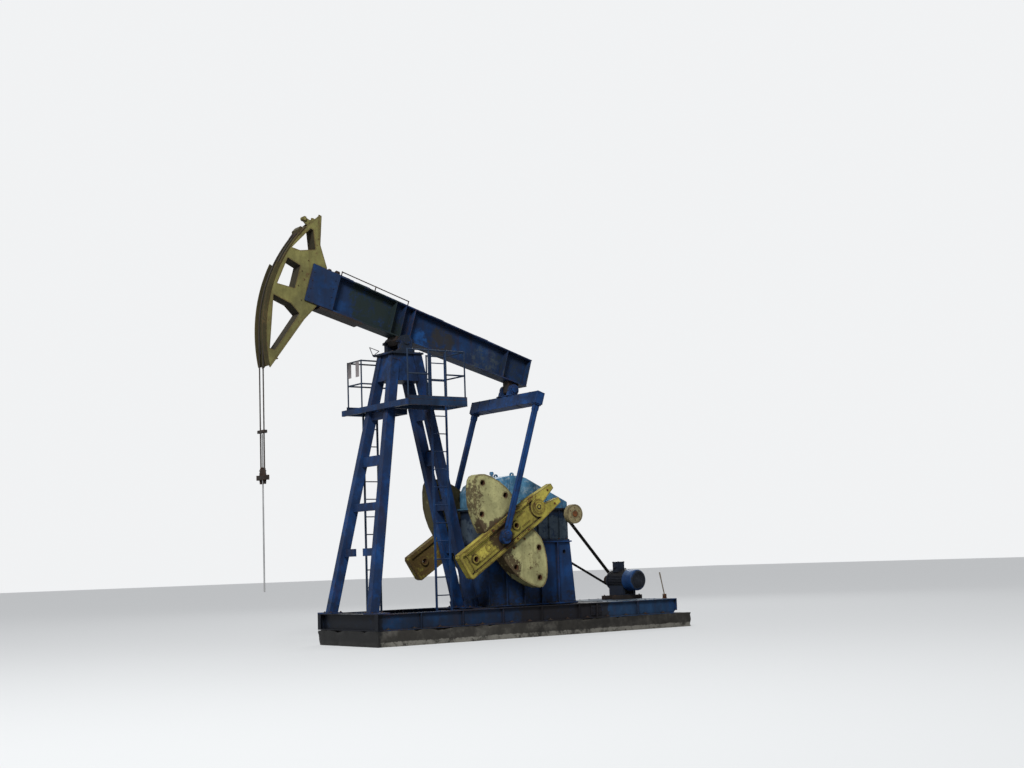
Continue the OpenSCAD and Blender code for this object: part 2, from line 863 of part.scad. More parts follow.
module head_plates() {
    color(head_yellow) beam_place() both_sides()
        side_extrude(head_half - head_plate_t, head_half) head_plate_shape();
}

module arc_sector(r0, r1, y0, y1, low, high) {
    intersection() {
        difference() {
            y_cyl(r1, y0, y1, $fn = 200);
            y_cyl(r0, y0 - 1, y1 + 1, $fn = 200);
        }
        side_extrude(y0 - 1, y1 + 1)
            polygon([[0, 0], arc_point(2 * arc_r, high), arc_point(2 * arc_r, -low)]);
    }
}

module head_arc_plate() {
    color(dark_steel) beam_place() union() {
        arc_sector(arc_r - arc_t, arc_r, -arc_half, arc_half, arc_down, arc_up);
        both_sides()
            arc_sector(arc_r - 1, arc_r + guard_rise, arc_half - guard_t, arc_half, arc_down, guard_up);
        side_extrude(-anchor_y, anchor_y)
            polygon([arc_point(arc_r - 1, arc_up - 1), arc_point(arc_r - 1, arc_up - 4),
                     arc_point(arc_r + anchor_h, arc_up - 3), arc_point(arc_r + anchor_h, arc_up - 1)]);
    }
}

module ring(points) {
    side_extrude(head_plate_t - head_half, head_half - head_plate_t) difference() {
        offset(delta = liner_t) polygon(points);
        polygon(points);
    }
}

module head_liners() {
    color(head_yellow) beam_place() union() {
        ring(window_top);
        ring(window_mid);
        ring(window_low);
    }
}

module rope_wraps() {
    color(dark_steel) beam_place() both_sides() intersection() {
        translate([0, rope_y, 0]) rotate([90, 0, 0])
            rotate_extrude($fn = 200) translate([arc_r + rope_gap + rope_r, 0]) circle(rope_r, $fn = 12);
        side_extrude(0, 2 * rope_y)
            polygon([[0, 0], arc_point(2 * arc_r, arc_up - 4.02), arc_point(2 * arc_r, -beam_tilt + 0.02)]);
    }
}

// Tail bearing, equalizer and pitmans

module tail_bracket() {
    side_extrude(-tail_half, tail_half)
        polygon([[tail_u - clevis_u, beam_bot(tail_u - clevis_u)], [tail_u - 70, tail_w - 60],
                 [tail_u - 40, tail_w - 82], [tail_u + 40, tail_w - 82], [tail_u + 70, tail_w - 60],
                 [tail_u + clevis_u, beam_bot(tail_u + clevis_u)]]);
}

module tail_shaft() {
    reach = tail_half + house_gap + house_len;
    color(dark_steel) beam_place() union() {
        tail_bracket();
        translate([tail_u, 0, tail_w]) y_cyl(tail_r, -reach - 8, reach + 8);
    }
}

module tail_bearing() {
    y0 = tail_half + house_gap;
    y1 = y0 + house_len;
    top = -equal_drop + equal_h / 2;
    y_cyl(tail_house, y0, y1);
    translate([-tail_house, y0, top - 1]) cube([2 * tail_house, house_len, -top - tail_house * 0.5]);
}

module equalizer_beam() {
    reach = tail_half + house_gap + house_len;
    color(steel_blue) tail_place() difference() {
        union() {
            translate([-equal_w / 2, -equal_half, -equal_drop - equal_h / 2])
                cube([equal_w, 2 * equal_half, equal_h]);
            both_sides() tail_bearing();
        }
        y_cyl(tail_r + run_gap, -reach - 1, reach + 1);
    }
}

module pitman() {
    low = -pitman_len;
    union() {
        translate([-pitman_wx / 2, pitman_y - pitman_wy / 2, low + 1])
            cube([pitman_wx, pitman_wy, -arm_drop - low - 1]);
        translate([0, 0, low]) {
            for (s = [-1, 1])
                translate([0, 0, s * (wrist_l - wrist_w) / 2]) y_cyl(wrist_w / 2, wrist_in, wrist_in + wrist_t);
            translate([-wrist_w / 2, wrist_in, (wrist_w - wrist_l) / 2])
                cube([wrist_w, wrist_t, wrist_l - wrist_w]);
            y_cyl(wrist_cap_r, wrist_in - 5, wrist_in + wrist_t + 16);
        }
    }
}

module pitman_far() {
    color(steel_blue) tail_place() pitman();
}

module pitman_near() {
    color(steel_blue) tail_place() mirror([0, 1, 0]) pitman();
}

// Hanger

module bridle_ropes() {
    color(dark_steel) both_sides() translate([rope_x, rope_y, carrier_z + carrier_h])
        cylinder(h = saddle_z - carrier_z - carrier_h, r = rope_r, $fn = 16);
}

module carrier_bar() {
    color(dark_steel) difference() {
        translate([rope_x - carrier_w / 2, -carrier_half, carrier_z])
            cube([carrier_w, 2 * carrier_half, carrier_h]);
        translate([rope_x, 0, carrier_z - 1]) cylinder(h = carrier_h + 2, r = rod_r + run_gap);
    }
}

module rod_clamp() {
    color(dark_steel) difference() {
        translate([rope_x, 0, carrier_z + carrier_h]) cylinder(h = clamp_h, r = clamp_r);
        translate([rope_x, 0, carrier_z + carrier_h - 1]) cylinder(h = clamp_h + 2, r = rod_r + run_gap);
    }
}

module polished_rod() {
    color(bright_steel) translate([rope_x, 0, rod_z0]) cylinder(h = rod_z1 - rod_z0, r = rod_r);
}

module rope_spreader() {
    color(dark_steel) difference() {
        translate([rope_x - 40, -carrier_half + 20, spreader_z]) cube([80, 2 * carrier_half - 40, 60]);
        both_sides() translate([rope_x, rope_y, spreader_z - 1])
            cylinder(h = 62, r = rope_r + rope_gap, $fn = 16);
    }
}

// Cranks and counterweights

module crankshaft() {
    color(dark_steel) translate([crank_x, 0, crank_z])
        y_cyl(shaft_r, -crank_out - hub_out, crank_out + hub_out);
}

module crank_shape() {
    polygon([[crank_tip, crank_half - 60], [crank_tip - 40, crank_half], [100, crank_half],
             [-crank_fork, fork_half],
             [-crank_fork, fork_gap], [-hub_r - 15, 26], [-hub_r - 15, -26], [-crank_fork, -fork_gap],
             [-crank_fork, -fork_half], [100, -crank_half], [crank_tip - 40, -crank_half],
             [crank_tip, 60 - crank_half]]);
}

module crank_recess() {
    half = crank_half - crank_rail;
    difference() {
        translate([60, -half]) square([crank_tip - 60 - crank_rail, 2 * half]);
        circle(hub_flat);
        for (i = [-1, 0, 2]) translate([pin_r + i * hole_step, 0]) circle(hole_r + 36);
    }
}

module crank() {
    difference() {
        side_extrude(crank_in, crank_out) crank_shape();
        side_extrude(crank_in - 1, crank_in + crank_sink) crank_recess();
        side_extrude(crank_out - crank_sink, crank_out + 1) crank_recess();
        y_cyl(shaft_r + shaft_gap, crank_in - 100, crank_out + 100);
        for (i = [-1, 2]) translate([pin_r + i * hole_step, 0, 0]) y_cyl(hole_r, crank_in - 1, crank_out + 1);
    }
    difference() {
        y_cyl(hub_r, crank_in - 30, crank_out + hub_out);
        y_cyl(shaft_r + shaft_gap, crank_in - 100, crank_out + 100);
    }
}

module crank_far() {
    color(crank_yellow) crank_place() crank();
}

module crank_near() {
    color(crank_yellow) crank_place() mirror([0, 1, 0]) crank();
}

weight_shape = [[410, 230], [340, 560], [385, 800], [470, 1020], [590, 1220], [700, 1345], [810, 1415], [900, 1430],
                [985, 1390], [1090, 1275], [1190, 1120], [1275, 970], [1340, 780], [1385, 560], [1405, 230]];

module weight(slide, lift) {
    side_extrude(weight_in, weight_in + weight_t) intersection() {
        translate([slide, lift]) difference() {
            polygon(weight_shape);
            translate([850, 1225]) circle(weight_hole);
            translate([505, 695]) circle(weight_hole);
            translate([1240, 700]) circle(weight_hole);
        }
        translate([0, crank_half + weight_gap]) square([3000, 3000]);
    }
}

module weight_far_lower() {
    color(weight_yellow) crank_place() weight(lower_slide, lower_lift);
}

module weight_far_upper() {
    color(weight_yellow) crank_place() mirror([0, 0, 1]) weight(upper_slide, upper_lift);
}

module weight_near_lower() {
    color(weight_yellow) crank_place() mirror([0, 1, 0]) weight(lower_slide, lower_lift);
}

module weight_near_upper() {
    color(weight_yellow) crank_place() mirror([0, 1, 0]) mirror([0, 0, 1]) weight(upper_slide, upper_lift);
}

// Gearbox and pedestal

module pedestal_body() {
    z1 = case_z0 - ped_plate;
    wide = ped_half + ped_rib;
    side_extrude(-ped_half, ped_half)
        polygon([[ped_x0, base_top], [ped_x1, base_top], [ped_top_x1, z1], [ped_x0, z1]]);
    for (x = [ped_x0 : ped_pitch : ped_top_x1])
        translate([x, -wide, base_top]) cube([ped_rib_t, 2 * wide, z1 - base_top]);
    translate([ped_x0 - 30, -wide, base_top]) cube([ped_x1 - ped_x0 + 40, 2 * wide, ped_plate]);
    translate([ped_x0 - 30, -wide, z1]) cube([ped_top_x1 - ped_x0 + 40, 2 * wide, ped_plate]);
}

module gear_pedestal() {
    color(steel_blue) difference() {
        pedestal_body();
        translate([port_x, 0, port_z]) y_cyl(port_r, -ped_half - 1, -ped_half + 60);
    }
}

module gearbox_case() {
    color(case_blue) difference() {
        union() {
            translate([case_x0, -case_half, case_z0])
                cube([case_x1 - case_x0, 2 * case_half, case_split - case_z0]);
            translate([case_x0 - case_lip, -case_half - case_lip, case_z0])
                cube([case_x1 - case_x0 + case_lip, 2 * (case_half + case_lip), case_flange]);
            translate([case_x0 - case_lip, -case_half - case_lip, case_split - case_flange])
                cube([case_x1 - case_x0 + case_lip, 2 * (case_half + case_lip), case_flange]);
            intersection() {
                translate([crank_x, 0, crank_z]) y_cyl(cap_r, -case_half - cap_out, case_half + cap_out);
                translate([crank_x - 600, -1000, case_z0]) cube([1200, 2000, case_split - case_z0]);
            }
            translate([input_x, 0, input_z]) y_cyl(boss_r, -case_half - 20, case_half + 20);
        }
        translate([crank_x, 0, crank_z]) y_cyl(shaft_r + run_gap, -1000, 1000);
        translate([input_x, 0, input_z]) y_cyl(input_r + run_gap, -1000, 1000);
    }
}

module gearbox_cover() {
    top = [[case_x0, 0], [case_x0, cover_front], [case_x0 + 90, cover_front + 150], [case_x0 + 275, cover_top - 92],
           [case_x0 + 720, cover_top], [crank_x - 52, cover_top - 5], [crank_x + 134, cover_top - 55],
           [case_x1, cover_rear], [case_x1, 0]];
    color(case_blue) difference() {
        union() {
            side_extrude(-case_half, case_half) translate([0, case_split]) polygon(top);
            translate([case_x0 - case_lip, -case_half - case_lip, case_split])
                cube([case_x1 - case_x0 + case_lip, 2 * (case_half + case_lip), case_flange]);
            intersection() {
                translate([crank_x, 0, crank_z]) y_cyl(cap_r, -case_half - cap_out, case_half + cap_out);
                translate([crank_x - 600, -1000, case_split]) cube([1200, 2000, 600]);
            }
        }
        translate([crank_x, 0, crank_z]) y_cyl(shaft_r + run_gap, -1000, 1000);
        translate([input_x, 0, input_z]) y_cyl(boss_r + 1, -1000, 1000);
    }
}

// Input shaft, brake drum, sheave and belts

module input_shaft() {
    color(dark_steel) translate([input_x, 0, input_z])
        y_cyl(input_r, -drum_out - 4, belt_y + sheave_w / 2 + 4);
}

module brake_drum() {
    color(cream) translate([input_x, 0, input_z]) difference() {
        y_cyl(drum_r, -drum_out, -drum_out + drum_w);
        y_cyl(input_r + shaft_gap, -drum_out - 1, -drum_out + drum_w + 1);
        y_cyl(drum_r - 40, -drum_out + drum_w - 90, -drum_out + drum_w + 1);
    }
}

module large_sheave() {
    y0 = belt_y - sheave_w / 2;
    color(steel_blue) translate([input_x, 0, input_z]) difference() {
        union() {
            difference() {
                y_cyl(sheave_r, y0, y0 + sheave_w, $fn = 120);
                y_cyl(sheave_r - sheave_rim, y0 - 1, y0 + sheave_w + 1, $fn = 120);
            }
            y_cyl(input_r + 60, y0, y0 + sheave_w);
            for (a = [0, 60, 120]) rotate([0, a, 0])
                translate([-sheave_r + 10, y0 + 40, -spoke_w / 2])
                    cube([2 * sheave_r - 20, sheave_w - 80, spoke_w]);
        }
        y_cyl(input_r + shaft_gap, y0 - 1, y0 + sheave_w + 1);
    }
}

module belt_outline(grow) {
    hull() {
        translate([input_x, input_z]) circle((sheave_r + belt_gap + grow) / cos(180 / 96), $fn = 96);
        translate([motor_x, motor_z]) circle((pulley_r + belt_gap + grow) / cos(180 / 96), $fn = 96);
    }
}

module drive_belts() {
    color(dark_steel) side_extrude(belt_y - sheave_w / 2 + 15, belt_y + sheave_w / 2 - 15) difference() {
        belt_outline(belt_t);
        belt_outline(0);
    }
}

module motor_pulley() {
    color(dark_steel) translate([motor_x, 0, motor_z]) difference() {
        y_cyl(pulley_r, belt_y - sheave_w / 2, belt_y + sheave_w / 2);
        y_cyl(motor_shaft_r + shaft_gap, 0, 1000);
    }
}

// Motor

module motor_bell() {
    reach = bell_len + bell_dome;
    ball = (bell_r * bell_r + bell_dome * bell_dome) / (2 * bell_dome);
    intersection() {
        y_cyl(bell_r, motor_y0 - reach, motor_y0 + 1);
        translate([0, motor_y0 - reach + ball, 0]) sphere(ball, $fn = 96);
    }
}

module motor_feet() {
    low = base_top + rail_h - motor_z;
    for (x = [-box_w, box_w - 70])
        translate([x, motor_y0 + 20, low]) cube([70, motor_y1 - motor_y0 - 40, -low - motor_r / 2]);
    for (y = [motor_y0 + 20, motor_y1 - 120])
        translate([-box_w, y, low]) cube([2 * box_w, 100, foot_t]);
}

module motor() {
    color(steel_blue) translate([motor_x, 0, motor_z]) union() {
        y_cyl(motor_r, motor_y0, motor_y1);
        motor_bell();
        y_cyl(motor_r + 14, motor_y1 - 1, motor_y1 + tail_cover);
        y_cyl(motor_shaft_r, motor_y1, belt_y + sheave_w / 2);
        translate([-150, 110, motor_r - 30]) cube([box_w, box_w, motor_box]);
        motor_feet();
    }
}

module motor_rails() {
    color(dark_steel) for (y = [motor_y0 + 15, motor_y1 - 15 - rail_w])
        translate([motor_x - 420, y, base_top]) cube([800, rail_w, rail_h]);
}

module lever_bracket() {
    color(dark_steel) difference() {
        union() {
            translate([lever_x - 45, lever_y - 34, base_top]) cube([90, 68, 14]);
            for (y = [lever_y - 34, lever_y + 20])
                translate([lever_x - 30, y, base_top]) cube([60, 14, lever_up + 30]);
        }
        translate([lever_x, 0, base_top + lever_up]) y_cyl(10 + run_gap, lever_y - 100, lever_y + 100);
    }
}

module brake_lever() {
    color(dark_steel) translate([lever_x, lever_y, base_top + lever_up]) union() {
        y_cyl(10, -36, 36);
        y_cyl(26, -14, 14);
        rotate([0, -lever_lean, 0]) translate([-12, -6, 0]) cube([24, 12, lever_len]);
        rotate([0, -lever_lean, 0]) translate([0, 0, lever_len - 120]) cylinder(h = 130, r = 16);
    }
}

// Platforms, railings and ladder

module front_platform_beam() {
    color(steel_blue) difference() {
        translate([far_x0 - deck_beam - base_gap, -deck_half, deck_z - deck_h])
            cube([deck_beam + 70, 2 * deck_half, deck_h]);
        translate([far_x0 - base_gap, deck_in - 1, deck_z - deck_h - 1])
            cube([200, deck_half, deck_h + 2]);
        translate([far_x0 - base_gap, -deck_half - 1, deck_z - deck_h - 1])
            cube([200, deck_half - deck_in + 1, deck_h + 2]);
        both_sides() front_leg(brace_gap);
    }
}

module platform_frame(x0, x1, out) {
    y = [deck_in, out];
    z = deck_z - deck_h;
    h = deck_h - deck_t;
    for (v = [y[0], y[1] - deck_beam]) translate([x0, v, z]) cube([x1 - x0, deck_beam, h]);
    for (v = [x0, x1 - deck_beam]) translate([v, y[0], z]) cube([deck_beam, y[1] - y[0], h]);
    translate([x0, y[0], deck_z - deck_t]) cube([x1 - x0, y[1] - y[0], deck_t]);
}

module near_platform() {
    color(steel_blue) union() {
        difference() {
            mirror([0, 1, 0]) platform_frame(near_x0, near_x1, near_out);
            translate([ladder_x0 - stile_w / 2 - hatch_gap, ladder_y - hatch_len, deck_z - deck_h - 1])
                cube([ladder_x1 - ladder_x0 + stile_w + 2 * hatch_gap, hatch_len + stile_t / 2 + brace_gap,
                      deck_h + 2]);
        }
        difference() {
            translate([rear_x(deck_z - 60) - 40, -deck_in - 1, deck_z - deck_h])
                cube([80, deck_in - rear_leg_y, deck_h - deck_t]);
            both_sides() rear_leg(brace_gap);
        }
    }
}

module far_platform() {
    color(steel_blue) union() {
        platform_frame(far_x0, far_x1, deck_out);
        difference() {
            translate([front_x(deck_z - 60) - 40, 360, deck_z - deck_h])
                cube([80, deck_in - 359, deck_h - deck_t]);
            both_sides() front_leg(brace_gap);
        }
    }
}

module guard(points) {
    for (p = points) round_bar([p[0], p[1], deck_z], [p[0], p[1], deck_z + guard_h], guard_r);
    for (i = [0 : len(points) - 2]) for (h = [guard_mid, guard_h - guard_r])
        round_bar([points[i][0], points[i][1], deck_z + h], [points[i + 1][0], points[i + 1][1], deck_z + h],
                  guard_r);
}

module near_railing() {
    y0 = -near_out + 30;
    y1 = -deck_in - 30;
    x1 = near_x1 - 30;
    z = deck_z + guard_h - guard_r;
    color(dark_steel) union() {
        guard([[near_x0 + 30, y0], [near_x0 + 530, y0]]);
        guard([[360, y0], [x1, y0], [x1, y1], [370, y1]]);
        round_bar([near_x0 + 530, y0, z], [360, y0, z], guard_r);
    }
}

module far_railing() {
    color(dark_steel)
        guard([[far_x1 - 30, deck_out - 30], [far_x0 + 30, deck_out - 30], [far_x0 + 30, deck_in + 130],
               [far_x0 + 420, deck_in + 130]]);
}

module ladder() {
    color(steel_blue) union() {
        for (x = [ladder_x0, ladder_x1])
            translate([x - stile_w / 2, ladder_y - stile_t / 2, base_top])
                cube([stile_w, stile_t, ladder_top - base_top]);
        for (x = [ladder_x0, ladder_x1])
            translate([x - stile_w / 2, -base_y0 + base_gap, base_top - ladder_step])
                cube([stile_w, base_y0 - base_gap + ladder_y + stile_t / 2, ladder_step + eps]);
        for (z = [base_top + 300 : rung_pitch : ladder_top - 100])
            translate([ladder_x0, ladder_y, z]) rotate([0, 90, 0])
                cylinder(h = ladder_x1 - ladder_x0, r = rung_r, $fn = 8);
    }
}

plinth();
base_beam_near();
base_beam_far();
front_cross_beam();
mid_cross_beam();
rear_cross_beam();
inner_beams();
motor_skid();
front_leg_near();
front_leg_far();
rear_leg_near();
rear_leg_far();
front_braces();
rear_braces();
post_head();
saddle_bearings();
walking_beam();
beam_cheeks();
beam_doubler();
beam_rail();
saddle_shaft();
head_plates();
head_arc_plate();
head_liners();
rope_wraps();
tail_shaft();
equalizer_beam();
pitman_near();
pitman_far();
bridle_ropes();
carrier_bar();
rod_clamp();
polished_rod();
rope_spreader();
crankshaft();
crank_near();
crank_far();
weight_near_upper();
weight_near_lower();
weight_far_upper();
weight_far_lower();
gear_pedestal();
gearbox_case();
gearbox_cover();
input_shaft();
brake_drum();
large_sheave();
drive_belts();
motor_pulley();
motor();
motor_rails();
brake_lever();
lever_bracket();
front_platform_beam();
near_platform();
far_platform();
near_railing();
far_railing();
ladder();
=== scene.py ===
import bpy
import bmesh
import math
from mathutils import Matrix, Vector, noise


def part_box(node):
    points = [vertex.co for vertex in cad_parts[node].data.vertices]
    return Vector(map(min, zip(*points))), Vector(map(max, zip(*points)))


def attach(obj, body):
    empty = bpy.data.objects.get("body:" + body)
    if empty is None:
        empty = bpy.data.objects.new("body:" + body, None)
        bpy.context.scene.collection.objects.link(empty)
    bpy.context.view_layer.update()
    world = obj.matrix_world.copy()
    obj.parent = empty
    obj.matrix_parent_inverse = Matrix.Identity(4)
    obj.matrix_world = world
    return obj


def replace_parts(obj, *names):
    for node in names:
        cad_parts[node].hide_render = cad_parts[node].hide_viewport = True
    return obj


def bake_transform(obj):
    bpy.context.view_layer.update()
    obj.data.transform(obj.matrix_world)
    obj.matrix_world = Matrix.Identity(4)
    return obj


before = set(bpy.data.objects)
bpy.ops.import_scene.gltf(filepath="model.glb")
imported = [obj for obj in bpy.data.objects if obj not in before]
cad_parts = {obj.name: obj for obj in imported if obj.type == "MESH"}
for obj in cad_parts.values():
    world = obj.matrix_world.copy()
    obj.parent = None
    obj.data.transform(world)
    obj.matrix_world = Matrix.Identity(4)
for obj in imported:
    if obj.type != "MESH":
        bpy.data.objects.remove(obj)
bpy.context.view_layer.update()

# Camera
# It stands at eye height off the near corner under the horsehead, and looks up a little,
# so that the horsehead is at the left and the motor at the right.


def at(*place):
    """A shift to a place."""
    return Matrix.Translation(place)


def turn(angle, axis):
    """A turn about an axis."""
    return Matrix.Rotation(angle, 4, axis)


camera_data = bpy.data.cameras.new("camera")
camera_data.lens = 52.73
camera_data.sensor_width = 36.0
camera_data.clip_end = 500.0
camera = bpy.data.objects.new("camera", camera_data)
bpy.context.collection.objects.link(camera)
look_round, look_up, roll = math.radians(36.0), math.radians(6.8), math.radians(1.95)
camera.matrix_world = (at(-16.475, -26.712, 1.55) @ turn(-look_round, "Z")
                       @ turn(math.radians(90) + look_up, "X") @ turn(-roll, "Z"))
bpy.context.scene.camera = camera

# Studio
# A wide pale floor at ground level, a pale sky of soft light, one large lamp from
# above the camera's left shoulder and a weak one from behind.
bpy.context.scene.view_settings.view_transform = "Standard"


def add_node(tree, kind, inputs=(), **settings):
    """A new node. Each input is a label or number with what goes in: a plain value, or another node's output."""
    node = tree.nodes.new("ShaderNode" + kind)
    for label, value in settings.items():
        setattr(node, label, value)
    for label, value in inputs:
        if isinstance(value, bpy.types.NodeSocket):
            tree.links.new(value, node.inputs[label])
        else:
            node.inputs[label].default_value = value
    return node


def worked(tree, kind, *values, clamp=False):
    """The result of a sum."""
    return add_node(tree, "Math", enumerate(values), operation=kind, use_clamp=clamp).outputs[0]


def seen_rays(tree):
    """1 for the camera, and for what shiny and clear surfaces show, so that they show the same backdrop."""
    rays = add_node(tree, "LightPath").outputs
    seen = worked(tree, "MAXIMUM", rays["Is Camera Ray"], rays["Is Glossy Ray"])
    return worked(tree, "MAXIMUM", seen, rays["Is Transmission Ray"])


backdrop = (0.88, 0.89, 0.90, 1)
world = bpy.data.worlds.new("sky")
bpy.context.scene.world = world
world.use_nodes = True
sky = world.node_tree
sky_light = sky.nodes["Background"]
sky_light.inputs["Color"].default_value = (0.84, 0.90, 1.0, 1)
sky_light.inputs["Strength"].default_value = 0.35
sky_seen = add_node(sky, "Background", [("Color", backdrop)])
sky_mix = add_node(sky, "MixShader", [(0, seen_rays(sky)), (1, sky_light.outputs[0]), (2, sky_seen.outputs[0])])
sky.links.new(sky_mix.outputs[0], sky.nodes["World Output"].inputs["Surface"])

floor_mesh = bmesh.new()
bmesh.ops.create_grid(floor_mesh, x_segments=1, y_segments=1, size=160)
floor_data = bpy.data.meshes.new("floor")
floor_mesh.to_mesh(floor_data)
floor_mesh.free()
floor = bpy.data.objects.new("floor", floor_data)
bpy.context.collection.objects.link(floor)
floor_paint = bpy.data.materials.new("pale floor")
floor_paint.use_nodes = True
pale = floor_paint.node_tree
floor_shader = pale.nodes["Principled BSDF"]
floor_shader.inputs["Base Color"].default_value = (0.46, 0.47, 0.47, 1)
floor_shader.inputs["Roughness"].default_value = 0.95
floor_glow = add_node(pale, "Emission", [("Color", backdrop)])
glow_share = worked(pale, "MULTIPLY", seen_rays(pale), 0.45)
floor_mix = add_node(pale, "MixShader", [(0, glow_share), (1, floor_shader.outputs[0]), (2, floor_glow.outputs[0])])
pale.links.new(floor_mix.outputs[0], pale.nodes["Material Output"].inputs["Surface"])
floor.data.materials.append(floor_paint)


def soft_lamp(name, place, aim, size, power):
    data = bpy.data.lights.new(name, "AREA")
    data.size = size
    data.energy = power
    lamp = bpy.data.objects.new(name, data)
    lamp.location = place
    lamp.rotation_euler = (Vector(aim) - Vector(place)).to_track_quat("-Z", "Y").to_euler()
    bpy.context.collection.objects.link(lamp)


soft_lamp("key lamp", (-17, -18, 22), (1, 0, 3), 7, 11200)
soft_lamp("back lamp", (18, 16, 16), (1, 0, 3), 12, 1500)

# Plinth
# A low block of cast concrete that carries the whole machine. Its edges are chipped, its
# sides are black with oil, and its top is dusty. Weather wears every surface of the unit:
# rust breaks through the paint, most of all on edges, rain draws streaks and dust settles.


def ramp(tree, value, low, high, to_low=0.0, to_high=1.0):
    """A value eased from one span to another."""
    return add_node(tree, "MapRange", [("Value", value), ("From Min", low), ("From Max", high), ("To Min", to_low),
                                       ("To Max", to_high)], interpolation_type="SMOOTHSTEP").outputs["Result"]


def weather_group():
    """Masks for the wear of any surface: rust, streaks, grime, dust, patches and relief, and painted shade in corners.
    """
    tree = bpy.data.node_groups.new("weathering", "ShaderNodeTree")
    for way, labels in (("INPUT", ("Rust", "Streaks", "Grime and Shade", "Dust and Highlight", "Grain", "Edge", "Reach", "Corner Shade")),
                        ("OUTPUT", ("Rust", "Halo", "Streaks", "Grime and Shade", "Dust and Highlight", "Mottle", "Patch", "Height"))):
        for label in labels:
            tree.interface.new_socket(label, in_out=way, socket_type="NodeSocketFloat")
    given, made = tree.nodes.new("NodeGroupInput").outputs, tree.nodes.new("NodeGroupOutput").inputs
    place = add_node(tree, "TexCoord").outputs["Object"]

    def cloud(scale, detail, rough, stretch=(1, 1, 1), shift=(0, 0, 0)):
        moved = add_node(tree, "Mapping", [("Vector", place), ("Scale", stretch), ("Location", shift)]).outputs[0]
        return add_node(tree, "TexNoise", [("Vector", moved), ("Scale", scale), ("Detail", detail),
                                           ("Roughness", rough)]).outputs["Fac"]

    def plus(first, second):
        return worked(tree, "ADD", first, second)

    def times(first, second, clamp=False):
        return worked(tree, "MULTIPLY", first, second, clamp=clamp)

    # Rust shows where three sizes of cloud add up, and sooner on edges.
    facing = add_node(tree, "NewGeometry").outputs["Normal"]
    rounded = add_node(tree, "Bevel", [("Radius", given["Reach"])], samples=4).outputs[0]
    meet = add_node(tree, "VectorMath", [(0, rounded), (1, facing)], operation="DOT_PRODUCT").outputs["Value"]
    edge = ramp(tree, meet, 0.78, 0.995, 1.0, 0.0)
    broad = cloud(1.3, 6.0, 0.62)
    fine = cloud(11.0, 9.0, 0.74, shift=(3.1, 0.4, 7.7))
    specks = cloud(31.0, 6.0, 0.7, shift=(6.6, 2.9, 1.3))
    spots = plus(plus(times(broad, 0.38), times(fine, 0.36)), times(specks, 0.26))
    spots = plus(spots, times(times(times(edge, fine), given["Edge"]), 0.55))
    limit = worked(tree, "SUBTRACT", 0.70, times(given["Rust"], 0.28))
    # Streaks run down in places. Grime lies in patches, painted shade darkens corners, and dust lies
    # on what faces up; on the fan cover that dust is a painted highlight.
    drips = ramp(tree, cloud(1.0, 5.0, 0.62, stretch=(8, 8, 0.5), shift=(1.7, 5.2, 0)), 0.48, 0.70)
    drips = times(drips, ramp(tree, cloud(0.7, 3.0, 0.5, shift=(9, 2, 4)), 0.34, 0.60))
    soot = plus(cloud(2.2, 7.0, 0.68, shift=(5, 5, 1)), times(given["Grime and Shade"], 0.34))
    soot = times(ramp(tree, soot, 0.52, 0.76), given["Grime and Shade"], True)
    # Painted shade: ambient occlusion darkens corners and hollows, and goes out with the grime.
    shade = add_node(tree, "AmbientOcclusion", [("Distance", 0.16)], samples=6).outputs["AO"]
    painted_corner_shade = times(ramp(tree, shade, 0.35, 0.92, 1.0, 0.0), plus(fine, 0.35))
    upward = add_node(tree, "SeparateXYZ", [(0, facing)]).outputs["Z"]
    dust_and_highlight_mask = times(ramp(tree, upward, 0.3, 0.9), ramp(tree, cloud(3.1, 6.0, 0.6, shift=(2, 2, 2)), 0.30, 0.62))
    bumps = times(times(cloud(46.0, 4.0, 0.6), 0.25), given["Grain"])
    bumps = plus(bumps, times(ramp(tree, spots, limit, plus(limit, 0.05)), -0.5))
    # The grime output holds the painted corner shade as well as the grime.
    for label, value in (
            ("Rust", ramp(tree, spots, limit, plus(limit, 0.035))),
            ("Halo", ramp(tree, spots, worked(tree, "SUBTRACT", limit, 0.06), plus(limit, 0.02))),
            ("Streaks", times(drips, given["Streaks"], True)),
            ("Grime and Shade", worked(tree, "MAXIMUM", soot, times(painted_corner_shade, given["Corner Shade"], True))),
            ("Dust and Highlight", times(dust_and_highlight_mask, given["Dust and Highlight"], True)),
            ("Mottle", cloud(0.55, 5.0, 0.60, shift=(2, 8, 3))),
            ("Patch", ramp(tree, cloud(4.3, 7.0, 0.66, stretch=(1, 1, 0.45), shift=(4, 1, 6)), 0.34, 0.66)),
            ("Height", plus(bumps, times(fine, 0.25)))):
        tree.links.new(value, made[label])
    return tree


weathering = weather_group()


